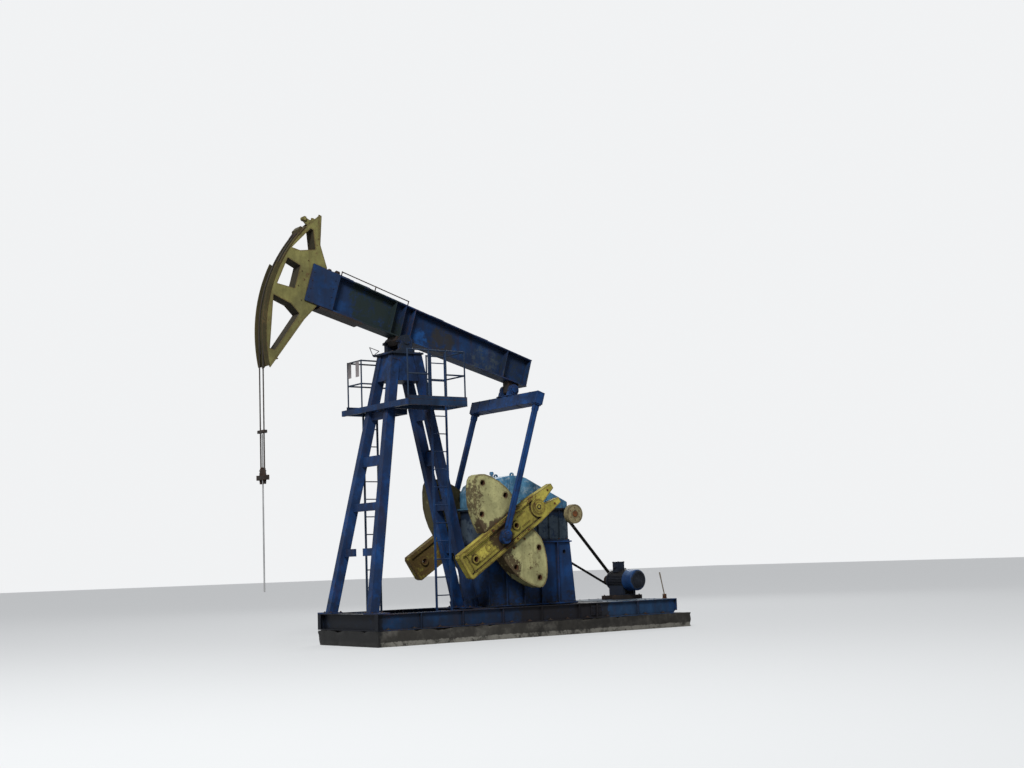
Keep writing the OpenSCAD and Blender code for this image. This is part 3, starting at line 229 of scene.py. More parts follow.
def painted(name, coat, faded, rust, streaks, grime, dust_and_highlight=0.25, roughness=0.45, grain=1.0, edge=0.4, reach=0.03,
            corner_shade=0.6, rust_colour=(0.050, 0.026, 0.018), dust_and_highlight_colour=(0.20, 0.18, 0.14), bump=0.3, metal=0.0,
            stains_and_shade=()):
    """A weathered finish in two shades, with painted shade in its corners. Stains and patches of painted shade each
    have an area, a strength and a colour, and an area is an axis with where it starts and ends, or a middle point
    with a radius. A fourth value sets how fine its blotches are."""
    material = bpy.data.materials.new(name)
    material.use_nodes = True
    tree = material.node_tree
    shader = tree.nodes["Principled BSDF"]
    wear = add_node(tree, "Group", (("Rust", rust), ("Streaks", streaks), ("Grime and Shade", grime), ("Dust and Highlight", dust_and_highlight),
                                    ("Grain", grain), ("Edge", edge), ("Reach", reach), ("Corner Shade", corner_shade)),
                    node_tree=weathering).outputs
    place = add_node(tree, "TexCoord").outputs["Object"]

    def coloured(mask, first, second):
        """The first colour, and the second where the mask is."""
        pair = [(number, (*colour, 1) if isinstance(colour, tuple) else colour)
                for number, colour in ((6, first), (7, second))]
        return add_node(tree, "Mix", [(0, mask)] + pair, data_type="RGBA").outputs[2]

    def blend(paint_share, rust_share):
        return tuple(paint_share * p + rust_share * r for p, r in zip(coat, rust_colour))

    # Paint in two shades goes on first, then dust, streaks, rust, and grime with painted shade in the corners.
    spread = add_node(tree, "MapRange", [("Value", wear["Mottle"]), ("From Min", 0.38), ("From Max", 0.62)]).outputs[0]
    colour = coloured(spread, coat, faded)
    colour = coloured(worked(tree, "MULTIPLY", wear["Patch"], 0.42), colour, blend(0.42, 0))
    colour = coloured(wear["Dust and Highlight"], colour, dust_and_highlight_colour)
    colour = coloured(wear["Streaks"], colour, blend(0.40, 0.45))
    colour = coloured(worked(tree, "MULTIPLY", wear["Halo"], 0.7), colour, blend(0.45, 0.55))
    flecks = add_node(tree, "TexNoise", [("Vector", place), ("Scale", 27), ("Detail", 6)]).outputs["Fac"]
    colour = coloured(wear["Rust"], colour, coloured(flecks, blend(0, 0.35), blend(0, 1.9)))
    # Grime, and painted shade in corners and hollows, darken the colour.
    colour = coloured(wear["Grime and Shade"], colour, (0.012, 0.011, 0.010))
    dull = add_node(tree, "MapRange", [("Value", wear["Halo"]), ("To Min", roughness), ("To Max", 0.85)]).outputs[0]
    # Stains and painted shade spread over it in blotches, and the darkest of them make it shinier.
    darkest_mark = None
    for number, (area, strength, tint, *fineness) in enumerate(stains_and_shade):
        if isinstance(area[0], int):
            axis, low, high = area
            soft = 0.25 * (high - low)
            measured = add_node(tree, "SeparateXYZ", [(0, place)]).outputs[axis]
            masks = [ramp(tree, measured, low - 0.3 * soft, low + soft),
                     ramp(tree, measured, high + 0.3 * soft, high - soft)]
        else:
            middle, radius = area
            away = add_node(tree, "VectorMath", [(0, place), (1, middle)], operation="DISTANCE").outputs["Value"]
            masks = [ramp(tree, away, radius, 0.35 * radius), 1.0]
        blotch = add_node(tree, "TexNoise", [("Vector", place), ("W", 1.7 * number), ("Detail", 9), ("Roughness", 0.78),
                                             ("Scale", fineness[0] if fineness else 5.5)],
                          noise_dimensions="4D").outputs["Fac"]
        grown = worked(tree, "MULTIPLY_ADD", worked(tree, "MULTIPLY", *masks), 0.5, blotch)
        start = 1.06 - 0.22 * strength
        width, base = (0.04, 0.80) if fineness else (0.14, 0.60)
        broken = ramp(tree, grown, start, start + width, 0.0, min(0.95, base + 0.34 * strength))
        colour = coloured(broken, colour, tint)
        if sum(tint) < 0.09:
            darkest_mark = broken
    if darkest_mark:
        dull = add_node(tree, "Mix", [(0, darkest_mark), (2, dull), (3, 0.38)]).outputs[0]
    # The relief comes last, with every edge a little rounded.
    soft_edge = add_node(tree, "Bevel", [("Radius", 0.006)], samples=4).outputs[0]
    relief = add_node(tree, "Bump", [("Strength", bump), ("Distance", 0.01), ("Height", wear["Height"]),
                                     ("Normal", soft_edge)]).outputs[0]
    for label, value in (("Base Color", colour), ("Roughness", dull), ("Normal", relief)):
        tree.links.new(value, shader.inputs[label])
    shader.inputs["Metallic"].default_value = metal
    shader.inputs["Specular IOR Level"].default_value = 0.06
    return material


def dress(material, *names):
    """The named CAD nodes get this material."""
    for name in names:
        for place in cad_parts[name].material_slots:
            place.material = material


def fit(mesh, name, body, material, crease=32.0):
    """A modelled mesh becomes a piece of the machine, which rides on its body."""
    bmesh.ops.remove_doubles(mesh, verts=mesh.verts, dist=0.00002)
    bmesh.ops.recalc_face_normals(mesh, faces=mesh.faces)
    data = bpy.data.meshes.new(name)
    mesh.to_mesh(data)
    mesh.free()
    data.shade_smooth()
    data.set_sharp_from_angle(angle=math.radians(crease))
    data.materials.append(material)
    thing = bpy.data.objects.new(name, data)
    bpy.context.collection.objects.link(thing)
    if body:
        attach(thing, body)
    return thing


def soften(mesh, verts, size):
    """Takes the sharpness off all edges at some points, in the same order on each run."""
    edges = dict.fromkeys(e for v in verts for e in v.link_edges)
    bmesh.ops.bevel(mesh, geom=list(edges), offset=size, offset_type="OFFSET", affect="EDGES", segments=1,
                    profile=0.5, material=-1)


def box_block(mesh, low, high, seat=Matrix(), edge=0.004):
    """A squared block between two corners, with its edges taken off."""
    low, high = Vector(low), Vector(high)
    spot = seat @ at(*((low + high) / 2)) @ Matrix.Diagonal((*(high - low), 1))
    made = bmesh.ops.create_cube(mesh, size=1, matrix=spot)
    if edge:
        soften(mesh, made["verts"], edge)


# The darkest stain, across the front end, is painted shade.
concrete = painted("oily concrete", (0.125, 0.118, 0.102), (0.060, 0.056, 0.050), 0.05, 0.7, 0.7, dust_and_highlight=0.7,
                   roughness=0.9, grain=2.4, edge=0.15, corner_shade=0.7, rust_colour=(0.07, 0.06, 0.05),
                   dust_and_highlight_colour=(0.25, 0.23, 0.19), bump=0.8,
                   stains_and_shade=(((2, -0.12, 0.14), 0.8, (0.185, 0.175, 0.150)),
                           ((0, 1.6, 5.0), 0.45, (0.022, 0.021, 0.019)),
                           ((2, 0.19, 0.60), 0.4, (0.030, 0.028, 0.026)),
                           ((0, -2.0, -1.20), 1.5, (0.015, 0.015, 0.015))))
plinth_low, plinth_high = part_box("plinth")
block = bmesh.new()
box_block(block, plinth_low, plinth_high, edge=0)
for axis, cuts in ((0, 110), (1, 34), (2, 5)):
    runs = [e for e in block.edges if abs((e.verts[0].co - e.verts[1].co).normalized()[axis]) > 0.9]
    bmesh.ops.subdivide_edges(block, edges=runs, cuts=cuts, use_grid_fill=True)
for vert in block.verts:
    inset = [min(vert.co[k] - plinth_low[k], plinth_high[k] - vert.co[k]) for k in range(3)]
    from_edge = sorted(inset)[1]
    chip = max(0.0, noise.fractal(vert.co * 3.7, 0.8, 2.1, 5) - 0.05) * 0.055 * math.exp(-from_edge / 0.05)
    chip += max(0.0, 0.5 + noise.noise(vert.co * 6.1)) * 0.004
    for k in range(3):
        if inset[k] < 0.0005 and not (k == 2 and vert.co[2] < 0.05):
            vert.co[k] += chip if vert.co[k] - plinth_low[k] < 0.001 else -chip
plinth = fit(block, "plinth_block", "base", concrete, crease=50)
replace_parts(plinth, "plinth")
dress(concrete, "plinth")

# Base frame
# Rolled steel beams welded into a frame: two long side beams, cross beams between them
# and the inner beams under the gearbox. It is bolted down through the lower flanges. The
# paint is blue, and black with oil beside the gearbox.
# The dark band across the front end is painted shade; the one beside the gearbox is oil.
base_enamel = painted("oily blue enamel", (0.006, 0.023, 0.062), (0.012, 0.034, 0.080), 0.34, 0.6, 0.55, dust_and_highlight=0.35,
                      corner_shade=0.9, stains_and_shade=(((0, 1.5, 4.9), 1.0, (0.012, 0.011, 0.012)),
                                           ((0, -1.9, -1.15), 1.4, (0.006, 0.007, 0.010))))
dress(base_enamel, "base_beam_near", "base_beam_far", "front_cross_beam", "mid_cross_beam", "rear_cross_beam",
      "inner_beams")
dark_steel = painted("dark oily steel", (0.022, 0.019, 0.018), (0.036, 0.030, 0.027), 0.40, 0.3, 0.35, dust_and_highlight=0.3,
                     roughness=0.5)


def bar(mesh, seat, radius, length, sides=16, top=None):
    """A round bar along Z with its middle in its seat. With a top radius it tapers."""
    bmesh.ops.create_cone(mesh, cap_ends=True, segments=sides, radius1=radius, radius2=radius if top is None else top,
                          depth=length, matrix=seat)


def towards(way):
    """The turn that lays Z along a direction."""
    return Vector(way).to_track_quat("Z", "Y").to_matrix().to_4x4()


def bolts(mesh, places, way, size):
    """Hexagon heads of bolts that stand out along a direction, each on its washer."""
    for place in places:
        for sides, wide, top, low, high in ((12, 1.10, 1.06, 0.0, 0.18), (6, 0.94, 0.94, 0.18, 0.62),
                                            (6, 0.94, 0.74, 0.62, 0.80), (8, 0.46, 0.40, 0.70, 1.15)):
            bar(mesh, at(*place) @ towards(way) @ at(0, 0, (low + high) * size / 2), wide * size, (high - low) * size,
                sides, top * size)


def sided_block(mesh, side, low, high, seat=Matrix(), edge=0.004):
    """A block on the near or the far side, its Y values taken outwards from the machine's middle."""
    y_low, y_high = sorted((side * low[1], side * high[1]))
    box_block(mesh, (low[0], y_low, low[2]), (high[0], y_high, high[2]), seat, edge)


up = (0, 0, 1)
anchors = bmesh.new()
for side in (-1, 1):
    for x in (-1.12, -0.52, 0.08, 0.72, 1.12, 1.86, 2.32, 2.86, 3.32, 3.86, 4.42, 4.94, 5.50, 6.02):
        sided_block(anchors, side, (x - 0.045, 1.1735, 0.328), (x + 0.045, 1.2135, 0.346))
        bolts(anchors, [(x, side * 1.1935, 0.346)], up, 0.020)
fit(anchors, "anchor_bolts", "base", dark_steel)

# Motor skid
# A lighter frame of the same beams, closed by a deck plate and bolted to the rear of the
# base through splice plates.
skid_enamel = painted("dusty blue enamel", (0.010, 0.034, 0.084), (0.020, 0.052, 0.112), 0.30, 0.5, 0.40, dust_and_highlight=0.8,
                      corner_shade=0.9, dust_and_highlight_colour=(0.14, 0.18, 0.20),
                      stains_and_shade=(((0, 3.7, 4.65), 0.9, (0.016, 0.015, 0.015)),
                              ((0, 6.10, 6.9), 0.5, (0.008, 0.040, 0.150))))
dress(skid_enamel, "motor_skid")


def row(first, last, count):
    return [Vector(first).lerp(Vector(last), i / (count - 1)) for i in range(count)]


splice = bmesh.new()
for side in (-1, 1):
    sided_block(splice, side, (3.97, 1.165, 0.372), (4.27, 1.187, 0.598))
    bolts(splice, [(x, side * 1.187, z) for x in (4.01, 4.08, 4.16, 4.23) for z in (0.43, 0.54)], (0, side, 0), 0.017)
fit(splice, "splice_plates", "base", base_enamel)
skid_trim = bmesh.new()
for y in (-1.02, 0.98):
    bolts(skid_trim, row((4.30, y, 0.640), (6.20, y, 0.640), 8), up, 0.014)
for x in (4.42, 5.20):
    box_block(skid_trim, (x, -1.0, 0.640), (x + 0.05, 0.45, 0.652))
fit(skid_trim, "skid_trim", "base", skid_enamel)

# Post
# Four box-section legs on bolted foot plates, tied by flat braces. The rear legs' braces
# are welded to gusset plates. The lowest front brace is broken and its middle is gone.
# Its stains make the legs darker towards the top, and darker still near the head.
post_enamel = painted("streaked blue enamel", (0.006, 0.034, 0.122), (0.014, 0.055, 0.172), 0.28, 0.75, 0.57,
                      corner_shade=0.8, stains_and_shade=(((2, 5.0, 6.9), 0.55, (0.008, 0.014, 0.030)),
                                           ((2, 5.75, 6.7), 0.75, (0.012, 0.015, 0.019)),
                                           ((2, 0.3, 1.2), 0.35, (0.014, 0.016, 0.018))))
dress(post_enamel, "front_leg_near", "front_leg_far", "rear_leg_near", "rear_leg_far", "front_braces", "rear_braces")
foot_z, rear_top_z = 0.664, 5.96
rear_foot = Vector((1.50, 0.262, foot_z))
rear_run = Vector((0.262, 0.262, rear_top_z)) - rear_foot
rear_seat = at(*rear_foot) @ turn(math.atan2(rear_run.x, rear_run.z), "Y")
gussets, foot_bolts = bmesh.new(), bmesh.new()
for side in (-1, 1):
    leg_seat = Matrix.Diagonal((1, side, 1, 1)) @ rear_seat
    for z, tall in ((3.8, 0.36), (2.8, 0.26), (1.9, 0.26)):
        along = (z - foot_z) / (rear_top_z - foot_z) * rear_run.length
        box_block(gussets, (0.1005, -0.17, along - tall / 2), (0.112, 0.03, along + tall / 2), leg_seat, edge=0.003)
    for x, y, half_x, half_y in ((-0.14, 0.0, 0.045, 0.006), (0.0, 0.115, 0.006, 0.045), (0.14, 0.0, 0.045, 0.006)):
        box_block(gussets, (x - half_x, y - half_y, 0.0), (x + half_x, y + half_y, 0.16), leg_seat, edge=0.002)
    for foot_x, foot_y in ((-1.25, 0.83), (1.50, 0.262)):
        bolts(foot_bolts, [(max(foot_x + dx, -1.34), side * foot_y + dy, foot_z)
                           for dx in (-0.135, 0.135) for dy in (-0.135, 0.135)], up, 0.022)
fit(gussets, "leg_gussets", "base", post_enamel)
fit(foot_bolts, "foot_bolts", "base", dark_steel)

# Post head
# Plates close the tops of the legs into a box. On its cap stand two split bearings, whose
# upper halves are held by four bolts each. A triangle of bar stands out at the far front.
dress(post_enamel, "post_head", "saddle_bearings")


def round_cap(mesh, side, middle, radius, low, high, seat=Matrix(), sides=36, taper=0.006):
    """A round cap that faces one side, from low to high off the machine's middle."""
    bar(mesh, seat @ at(middle[0], side * (low + high) / 2, middle[1]) @ turn(-side * math.pi / 2, "X"), radius,
        high - low, sides, radius - taper)


def bolt_circle(mesh, middle, radius, count, side, size, start=0.0, seat=Matrix()):
    """Bolts on a circle that faces one side."""
    x, y, z = middle
    angles = [start + 2 * math.pi * i / count for i in range(count)]
    bolts(mesh, [seat @ Vector((x + radius * math.cos(a), y, z + radius * math.sin(a))) for a in angles], (0, side, 0),
          size)


saddle_z = 6.234
saddle_caps, saddle_bolts = bmesh.new(), bmesh.new()
for side in (-1, 1):
    for x in (-0.155, 0.155):
        for low, high in ((6.210, 6.232), (6.236, 6.262)):
            sided_block(saddle_caps, side, (x - 0.030, 0.212, low), (x + 0.030, 0.336, high))
        bolts(saddle_bolts, [(x, side * y, 6.262) for y in (0.240, 0.308)], up, 0.014)
    bolts(saddle_bolts, [(x, side * y, 6.050) for x in (-0.165, 0.165) for y in (0.234, 0.314)], up, 0.016)
    round_cap(saddle_caps, side, (0, saddle_z), 0.088, 0.344, 0.362, sides=32, taper=0.008)
    bolt_circle(saddle_bolts, (0, side * 0.360, saddle_z), 0.066, 6, side, 0.008)
bolts(saddle_bolts, [(x, y, 6.0) for x in (-0.33, 0.33) for y in (-0.31, -0.1, 0.1, 0.31)], up, 0.018)
corners = [Vector(p) for p in ((-0.474, 0.375, 6.160), (-0.396, 0.375, 5.980), (-0.246, 0.375, 6.096))]
for first, second in zip(corners, corners[1:] + corners[:1]):
    way = second - first
    bar(saddle_caps, at(*((first + second) / 2)) @ towards(way), 0.008, way.length + 0.008, 8)
box_block(saddle_caps, (-0.405, 0.360, 5.985), (-0.350, 0.390, 6.012), edge=0.002)
fit(saddle_caps, "saddle_caps", "base", post_enamel)
fit(saddle_bolts, "saddle_bolts", "base", dark_steel)

# Walking beam
# A long welded beam with stiffeners over the saddle and at the tail. Cheek plates at its
# front clasp the horsehead and are bolted through. The paint is blue, sooty over the post.
beam_enamel = painted("sooty blue enamel", (0.006, 0.029, 0.095), (0.014, 0.046, 0.130), 0.32, 0.7, 0.56, dust_and_highlight=0.35,
                      corner_shade=0.8, stains_and_shade=(((0, -1.40, 0.30), 0.90, (0.013, 0.019, 0.016)),
                                           (((1.10, -0.15, 6.30), 0.66), 0.85, (0.022, 0.021, 0.020)),
                                           (((2.15, -0.15, 5.85), 0.90), 0.55, (0.042, 0.052, 0.056)),
                                           (((0.50, -0.15, 6.35), 0.50), 0.7, (0.012, 0.055, 0.170)),
                                           ((0, 2.2, 3.9), 0.45, (0.016, 0.022, 0.026))))
dress(beam_enamel, "walking_beam", "beam_cheeks")
dress(dark_steel, "beam_doubler", "beam_rail", "saddle_shaft")
beam_seat = at(0, 0, saddle_z) @ turn(math.radians(16.54), "Y")


def on_beam(u, y, w):
    return beam_seat @ Vector((u, y, w))


def beam_edge(u, upper):
    """Height of the beam's upper or lower face at a distance from the saddle."""
    first, last = ((0.838, 0.755) if upper else (0.036, 0.124))
    return first + (last - first) * (u + 2.405) / 5.705


def flat_plate(mesh, outline, low, high, seat=Matrix(), edge=0.003):
    """A plate cut to an outline of (along, up) points, which reaches from low to high across Y in its seat."""
    face = mesh.faces.new([mesh.verts.new(seat @ Vector((x, low, z))) for x, z in outline])
    grown = bmesh.ops.extrude_face_region(mesh, geom=[face])["geom"]
    moved = [g for g in grown if isinstance(g, bmesh.types.BMVert)]
    bmesh.ops.translate(mesh, verts=moved, vec=seat.to_3x3() @ Vector((0, high - low, 0)))
    if edge:
        soften(mesh, list(face.verts) + moved, edge)


beam_bolts, beam_plates, cheek_bolts, lugs = bmesh.new(), bmesh.new(), bmesh.new(), bmesh.new()
out = beam_seat.to_3x3() @ Vector((0, 1, 0))
down = beam_seat.to_3x3() @ Vector((0, 0, -1))
for side in (-1, 1):
    for u in (-2.34, -1.84):
        bolts(cheek_bolts, [on_beam(u, side * 0.190, w) for w in (0.13, 0.31, 0.49, 0.67)], out * side, 0.013)
    for u, y in ((-0.13, 0.150), (0.13, 0.150), (2.88, 0.130), (3.09, 0.130)):
        bolts(beam_bolts, [on_beam(u, side * y, beam_edge(u, False))], down, 0.018)
    for u in (-1.60, -1.20, 0.70, 1.90):
        top = beam_edge(u, True)
        sided_block(beam_plates, side, (u - 0.17, 0.13, top - 0.001), (u + 0.17, 0.17, top + 0.010), beam_seat,
                    edge=0.002)
box_block(beam_plates, (-2.05, -0.172, beam_edge(-2.05, True) - 0.004),
          (-1.52, 0.172, beam_edge(-1.52, True) + 0.016), beam_seat)
box_block(beam_plates, (3.300, -0.150, 0.16), (3.308, 0.150, 0.72), beam_seat, edge=0.002)
for u, long, tall in ((-1.985, 0.060, 0.055), (-1.805, 0.085, 0.085)):
    w = beam_edge(u, True) + 0.008
    outline = [(u - long, w), (u + long, w), (u + 0.6 * long, w + tall), (u - 0.4 * long, w + tall)]
    for y in (-0.100, 0.076):
        flat_plate(lugs, outline, y, y + 0.024, beam_seat)
    bar(lugs, beam_seat @ at(u, 0, w + 0.5 * tall) @ turn(math.pi / 2, "X"), 0.020, 0.230)
fit(cheek_bolts, "cheek_bolts", "beam", beam_enamel)
fit(lugs, "beam_lugs", "beam", dark_steel)
fit(beam_bolts, "beam_bolts", "beam", dark_steel)
fit(beam_plates, "beam_plates", "beam", beam_enamel)

# Horsehead
# Two side plates with three windows each, tied by strips round the windows and by the
# curved arc plate. Guards along the lower part of the arc keep the ropes on it.
khaki = painted("faded yellow", (0.182, 0.170, 0.058), (0.124, 0.115, 0.046), 0.46, 0.65, 0.34, dust_and_highlight=0.2,
                roughness=0.66, edge=0.8, reach=0.05, rust_colour=(0.065, 0.036, 0.018))
# The head's liners take a darker copy of the yellow: painted shade.
shaded = painted("yellow with painted shade", (0.060, 0.052, 0.028), (0.036, 0.032, 0.022), 0.45, 0.4, 0.5, dust_and_highlight=0.2,
                 roughness=0.75)
arc_steel = painted("greasy arc steel", (0.062, 0.055, 0.023), (0.030, 0.026, 0.014), 0.40, 0.5, 0.35, dust_and_highlight=0.2,
                    roughness=0.5, rust_colour=(0.080, 0.050, 0.024))
dress(khaki, "head_plates")
dress(shaded, "head_liners")
dress(arc_steel, "head_arc_plate")
stiffeners, head_studs = bmesh.new(), bmesh.new()
for side in (-1, 1):
    for strip in ([(-2.385, 1.262), (-2.352, 1.273), (-2.534, 1.873), (-2.567, 1.863)],
                  [(-2.330, -0.345), (-2.294, -0.354), (-2.745, -1.532), (-2.781, -1.518)]):
        flat_plate(stiffeners, strip, *sorted((side * 0.1545, side * 0.162)), beam_seat, edge=0.002)
    bolts(head_studs, [on_beam(u, side * 0.155, w)
                       for u, w in ((-2.60, 0.60), (-2.60, 0.28), (-2.52, 0.86), (-2.46, 0.02))], out * side, 0.014)
for u, wide, w in ((-2.700, 0.080, -1.310), (-2.640, 0.160, 1.630)):
    box_block(stiffeners, (u, -0.142, w), (u + wide, 0.142, w + 0.020), beam_seat, edge=0.002)
flat_plate(stiffeners, [(-2.680, 1.600), (-2.600, 1.730), (-2.790, 1.760), (-2.835, 1.715), (-2.800, 1.670)],
           -0.020, 0.020, beam_seat)
bar(stiffeners, beam_seat @ at(-2.790, 0, 1.716) @ turn(math.pi / 2, "X"), 0.046, 0.110, 24)
fit(stiffeners, "head_stiffeners", "beam", khaki)
fit(head_studs, "head_studs", "beam", khaki)

# Ropes and hanger
# Two wire ropes of six strands come from sockets at the top of the arc, lie on it, hang
# down to the carrier bar and hold it. The polished rod goes through the bar and is held by
# its clamp. The rope on the arc goes on as far as it lies when the head is highest.
rope_steel = painted("greasy rope", (0.030, 0.027, 0.024), (0.050, 0.044, 0.038), 0.15, 0.1, 0.25, dust_and_highlight=0.1,
                     roughness=0.55, bump=0.2)
rope_middle, rope_radius, strands, lay = 3.1843, 0.014, 6, 0.22
rope_x, rope_sides = -rope_middle, (-0.078, 0.078)


def laid_rope(mesh, frames):
    """Strands laid round a rope: one lobed ring is carried through the frames and turned a little at each."""
    ring = bmesh.ops.create_circle(mesh, cap_ends=True, segments=strands * 3, radius=rope_radius,
                                   matrix=frames[0])["verts"]
    for i, vert in enumerate(ring):
        vert.co = frames[0].translation.lerp(vert.co, 1.0 if i % 3 else 0.74)
    rim = [e for e in mesh.edges if e.verts[0] in ring and e.verts[1] in ring]
    for first, second in zip(frames, frames[1:]):
        grown = bmesh.ops.extrude_edge_only(mesh, edges=rim)["geom"]
        ring = [g for g in grown if isinstance(g, bmesh.types.BMVert)]
        rim = [g for g in grown if isinstance(g, bmesh.types.BMEdge)]
        rim = [e for e in rim if e.verts[0] in ring and e.verts[1] in ring]
        bmesh.ops.transform(mesh, matrix=second @ turn(lay, "Z") @ first.inverted(), verts=ring)
    bmesh.ops.holes_fill(mesh, edges=rim, sides=strands * 3)


def on_arc(angle, y):
    """The seat of a place on the ropes' arc, at an angle above the beam line."""
    return beam_seat @ at(-rope_middle * math.cos(angle), y, rope_middle * math.sin(angle))


arc_top, arc_leave, socket = 24.58, -23.77, math.radians(23.4)
angles = [math.radians(arc_top + (arc_leave - arc_top) * i / 107) for i in range(108)]
arc_ropes, hung_ropes, sockets, hanger_trim = bmesh.new(), bmesh.new(), bmesh.new(), bmesh.new()
for y in rope_sides:
    laid_rope(arc_ropes, [on_arc(a, y) @ turn(a + math.pi, "Y") for a in angles])
    laid_rope(hung_ropes, [at(rope_x, y, saddle_z - 2.812 * i / 100) @ turn(math.pi, "X") for i in range(101)])
    bar(sockets, on_arc(socket, y) @ turn(socket, "Y"), 0.017, 0.120, top=0.026)
    for low, high, wide, top in ((3.421, 3.560, 0.034, 0.020), (3.250, 3.329, 0.028, 0.034)):
        bar(hanger_trim, at(rope_x, y, (low + high) / 2), wide, high - low, top=top)
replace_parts(fit(arc_ropes, "arc_ropes", "beam", rope_steel, crease=70), "rope_wraps")
hung = fit(hung_ropes, "hanging_ropes", None, rope_steel, crease=70)
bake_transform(hung)
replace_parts(hung, "bridle_ropes")
fit(sockets, "rope_sockets", "beam", dark_steel)
dress(dark_steel, "carrier_bar", "rod_clamp", "rope_spreader")
bright_steel = painted("bright steel", (0.50, 0.50, 0.50), (0.38, 0.38, 0.38), 0.04, 0.2, 0.2, dust_and_highlight=0,
                       roughness=0.28, metal=0.9)
dress(bright_steel, "polished_rod")
for way in (-1, 1):
    bolts(hanger_trim, [(rope_x + way * 0.052, y, z) for z in (3.450, 3.510) for y in (-0.030, 0.030)], (way, 0, 0),
          0.010)
for side in (-1, 1):
    sided_block(hanger_trim, side, (rope_x - 0.058, 0.160, 3.326), (rope_x + 0.058, 0.172, 3.424))
box_block(hanger_trim, (rope_x - 0.040, -0.030, 3.541), (rope_x + 0.040, 0.030, 3.575))
fit(hanger_trim, "hanger_fittings", "hanger", dark_steel)

# Tail bearing and equalizer
# Two bearings on the equalizer beam turn on the shaft under the walking beam's tail. The
# equalizer is a box-section beam with end plates, and it carries the two pitmans.
linkage_enamel = painted("linkage blue enamel", (0.007, 0.038, 0.135), (0.014, 0.056, 0.180), 0.26, 0.5, 0.48,
                         dust_and_highlight=0.3, corner_shade=0.8, stains_and_shade=(((2, 1.7, 2.45), 0.6, (0.010, 0.013, 0.022)),
                                                        ((2, 4.65, 5.9), 0.55, (0.008, 0.018, 0.046))))
dress(linkage_enamel, "equalizer_beam", "pitman_near", "pitman_far")
dress(dark_steel, "tail_shaft")
tail_seat = at(2.845, 0, 5.330) @ turn(math.radians(17.92), "Y")
tail_trim, tail_bolts = bmesh.new(), bmesh.new()
for side in (-1, 1):
    for radius, low, high in ((0.112, 0.193, 0.203), (0.070, 0.2025, 0.226)):
        round_cap(tail_trim, side, (0, 0), radius, low, high, tail_seat)
    bolt_circle(tail_bolts, (0, side * 0.203, 0), 0.092, 8, side, 0.009, seat=tail_seat)
    sided_block(tail_trim, side, (-0.101, 1.240, -0.441), (0.101, 1.252, -0.169), tail_seat)
    for u in (-0.10, 0.10):
        sided_block(tail_trim, side, (u - 0.010, 0.023, -0.176), (u + 0.010, 0.283, -0.150), tail_seat)
    bolts(tail_bolts, [tail_seat @ Vector((x, side * 0.153, -0.175)) for x in (-0.125, 0.125)], up, 0.012)
    for y in (0.55, 0.95):
        sided_block(tail_trim, side, (-0.100, y - 0.006, -0.440), (0.100, y + 0.006, -0.170), tail_seat, edge=0.002)
fit(tail_trim, "tail_bearing_caps", "equalizer", linkage_enamel)
fit(tail_bolts, "tail_bearing_bolts", "equalizer", dark_steel)

# Pitmans
# Long box-section rods. Each hangs from the equalizer by a bolted flange and ends in a
# round bearing beside the crank.
pitman_trim, pitman_bolts = bmesh.new(), bmesh.new()
pitman_low = -3.3895
for side in (-1, 1):
    sided_block(pitman_trim, side, (-0.088, 1.090, -0.462), (0.088, 1.230, -0.436), tail_seat)
    for x in (-0.055, 0.055):
        sided_block(pitman_trim, side, (x - 0.006, 1.110, -0.580), (x + 0.006, 1.210, -0.460), tail_seat, edge=0.002)
    bolts(pitman_bolts, [tail_seat @ Vector((x, side * y, -0.462)) for x in (-0.072, 0.072) for y in (1.108, 1.212)],
          tail_seat.to_3x3() @ Vector((0, 0, -1)), 0.012)
    for radius, low, high in ((0.100, 1.210, 1.219), (0.060, 1.226, 1.240)):
        round_cap(pitman_trim, side, (0, pitman_low), radius, low, high, tail_seat)
    bolt_circle(pitman_bolts, (0, side * 1.218, pitman_low), 0.086, 6, side, 0.010, math.pi / 6, tail_seat)
    for face in (1.120, 1.1915):
        for x in (-0.055, 0.041):
            sided_block(pitman_trim, side, (x, face, -3.20), (x + 0.014, face + 0.0085, -0.50), tail_seat, edge=0)
fit(pitman_trim, "pitman_ends", "equalizer", linkage_enamel)
fit(pitman_bolts, "pitman_bolts", "equalizer", dark_steel)

# Cranks
# Forked steel castings with raised rails along their edges, keyed on the crankshaft. The
# hub is closed by rings, and the free holes for the wrist pin have rusty bushes.
wrist_pin = (1.788, -1.0, 2.098)
# The brown band over the far crank is painted shade.
crank_yellow = painted("crank yellow", (0.480, 0.410, 0.075), (0.350, 0.300, 0.068), 0.48, 0.45, 0.44, dust_and_highlight=0.1,
                       roughness=0.58, edge=1.0, reach=0.045, corner_shade=1.4, rust_colour=(0.085, 0.038, 0.018),
                       stains_and_shade=(((2, 0.8, 4.3), -0.02, (0.075, 0.044, 0.020), 14.0),
                               ((wrist_pin, 0.55), 1.0, (0.034, 0.021, 0.014)),
                               ((2, 0.9, 2.0), 0.25, (0.085, 0.060, 0.024)),
                               ((1, 0.6, 1.3), 0.9, (0.075, 0.046, 0.020))))
dress(crank_yellow, "crank_near", "crank_far")
dress(dark_steel, "crankshaft")
rusty_iron = painted("rusty iron", (0.060, 0.032, 0.020), (0.095, 0.048, 0.026), 0.65, 0.3, 0.3, dust_and_highlight=0,
                     roughness=0.8, rust_colour=(0.14, 0.052, 0.020))
crank_centre = (2.752, 2.717)
crank_seat = at(crank_centre[0], 0, crank_centre[1]) @ turn(-math.radians(212.8), "Y")


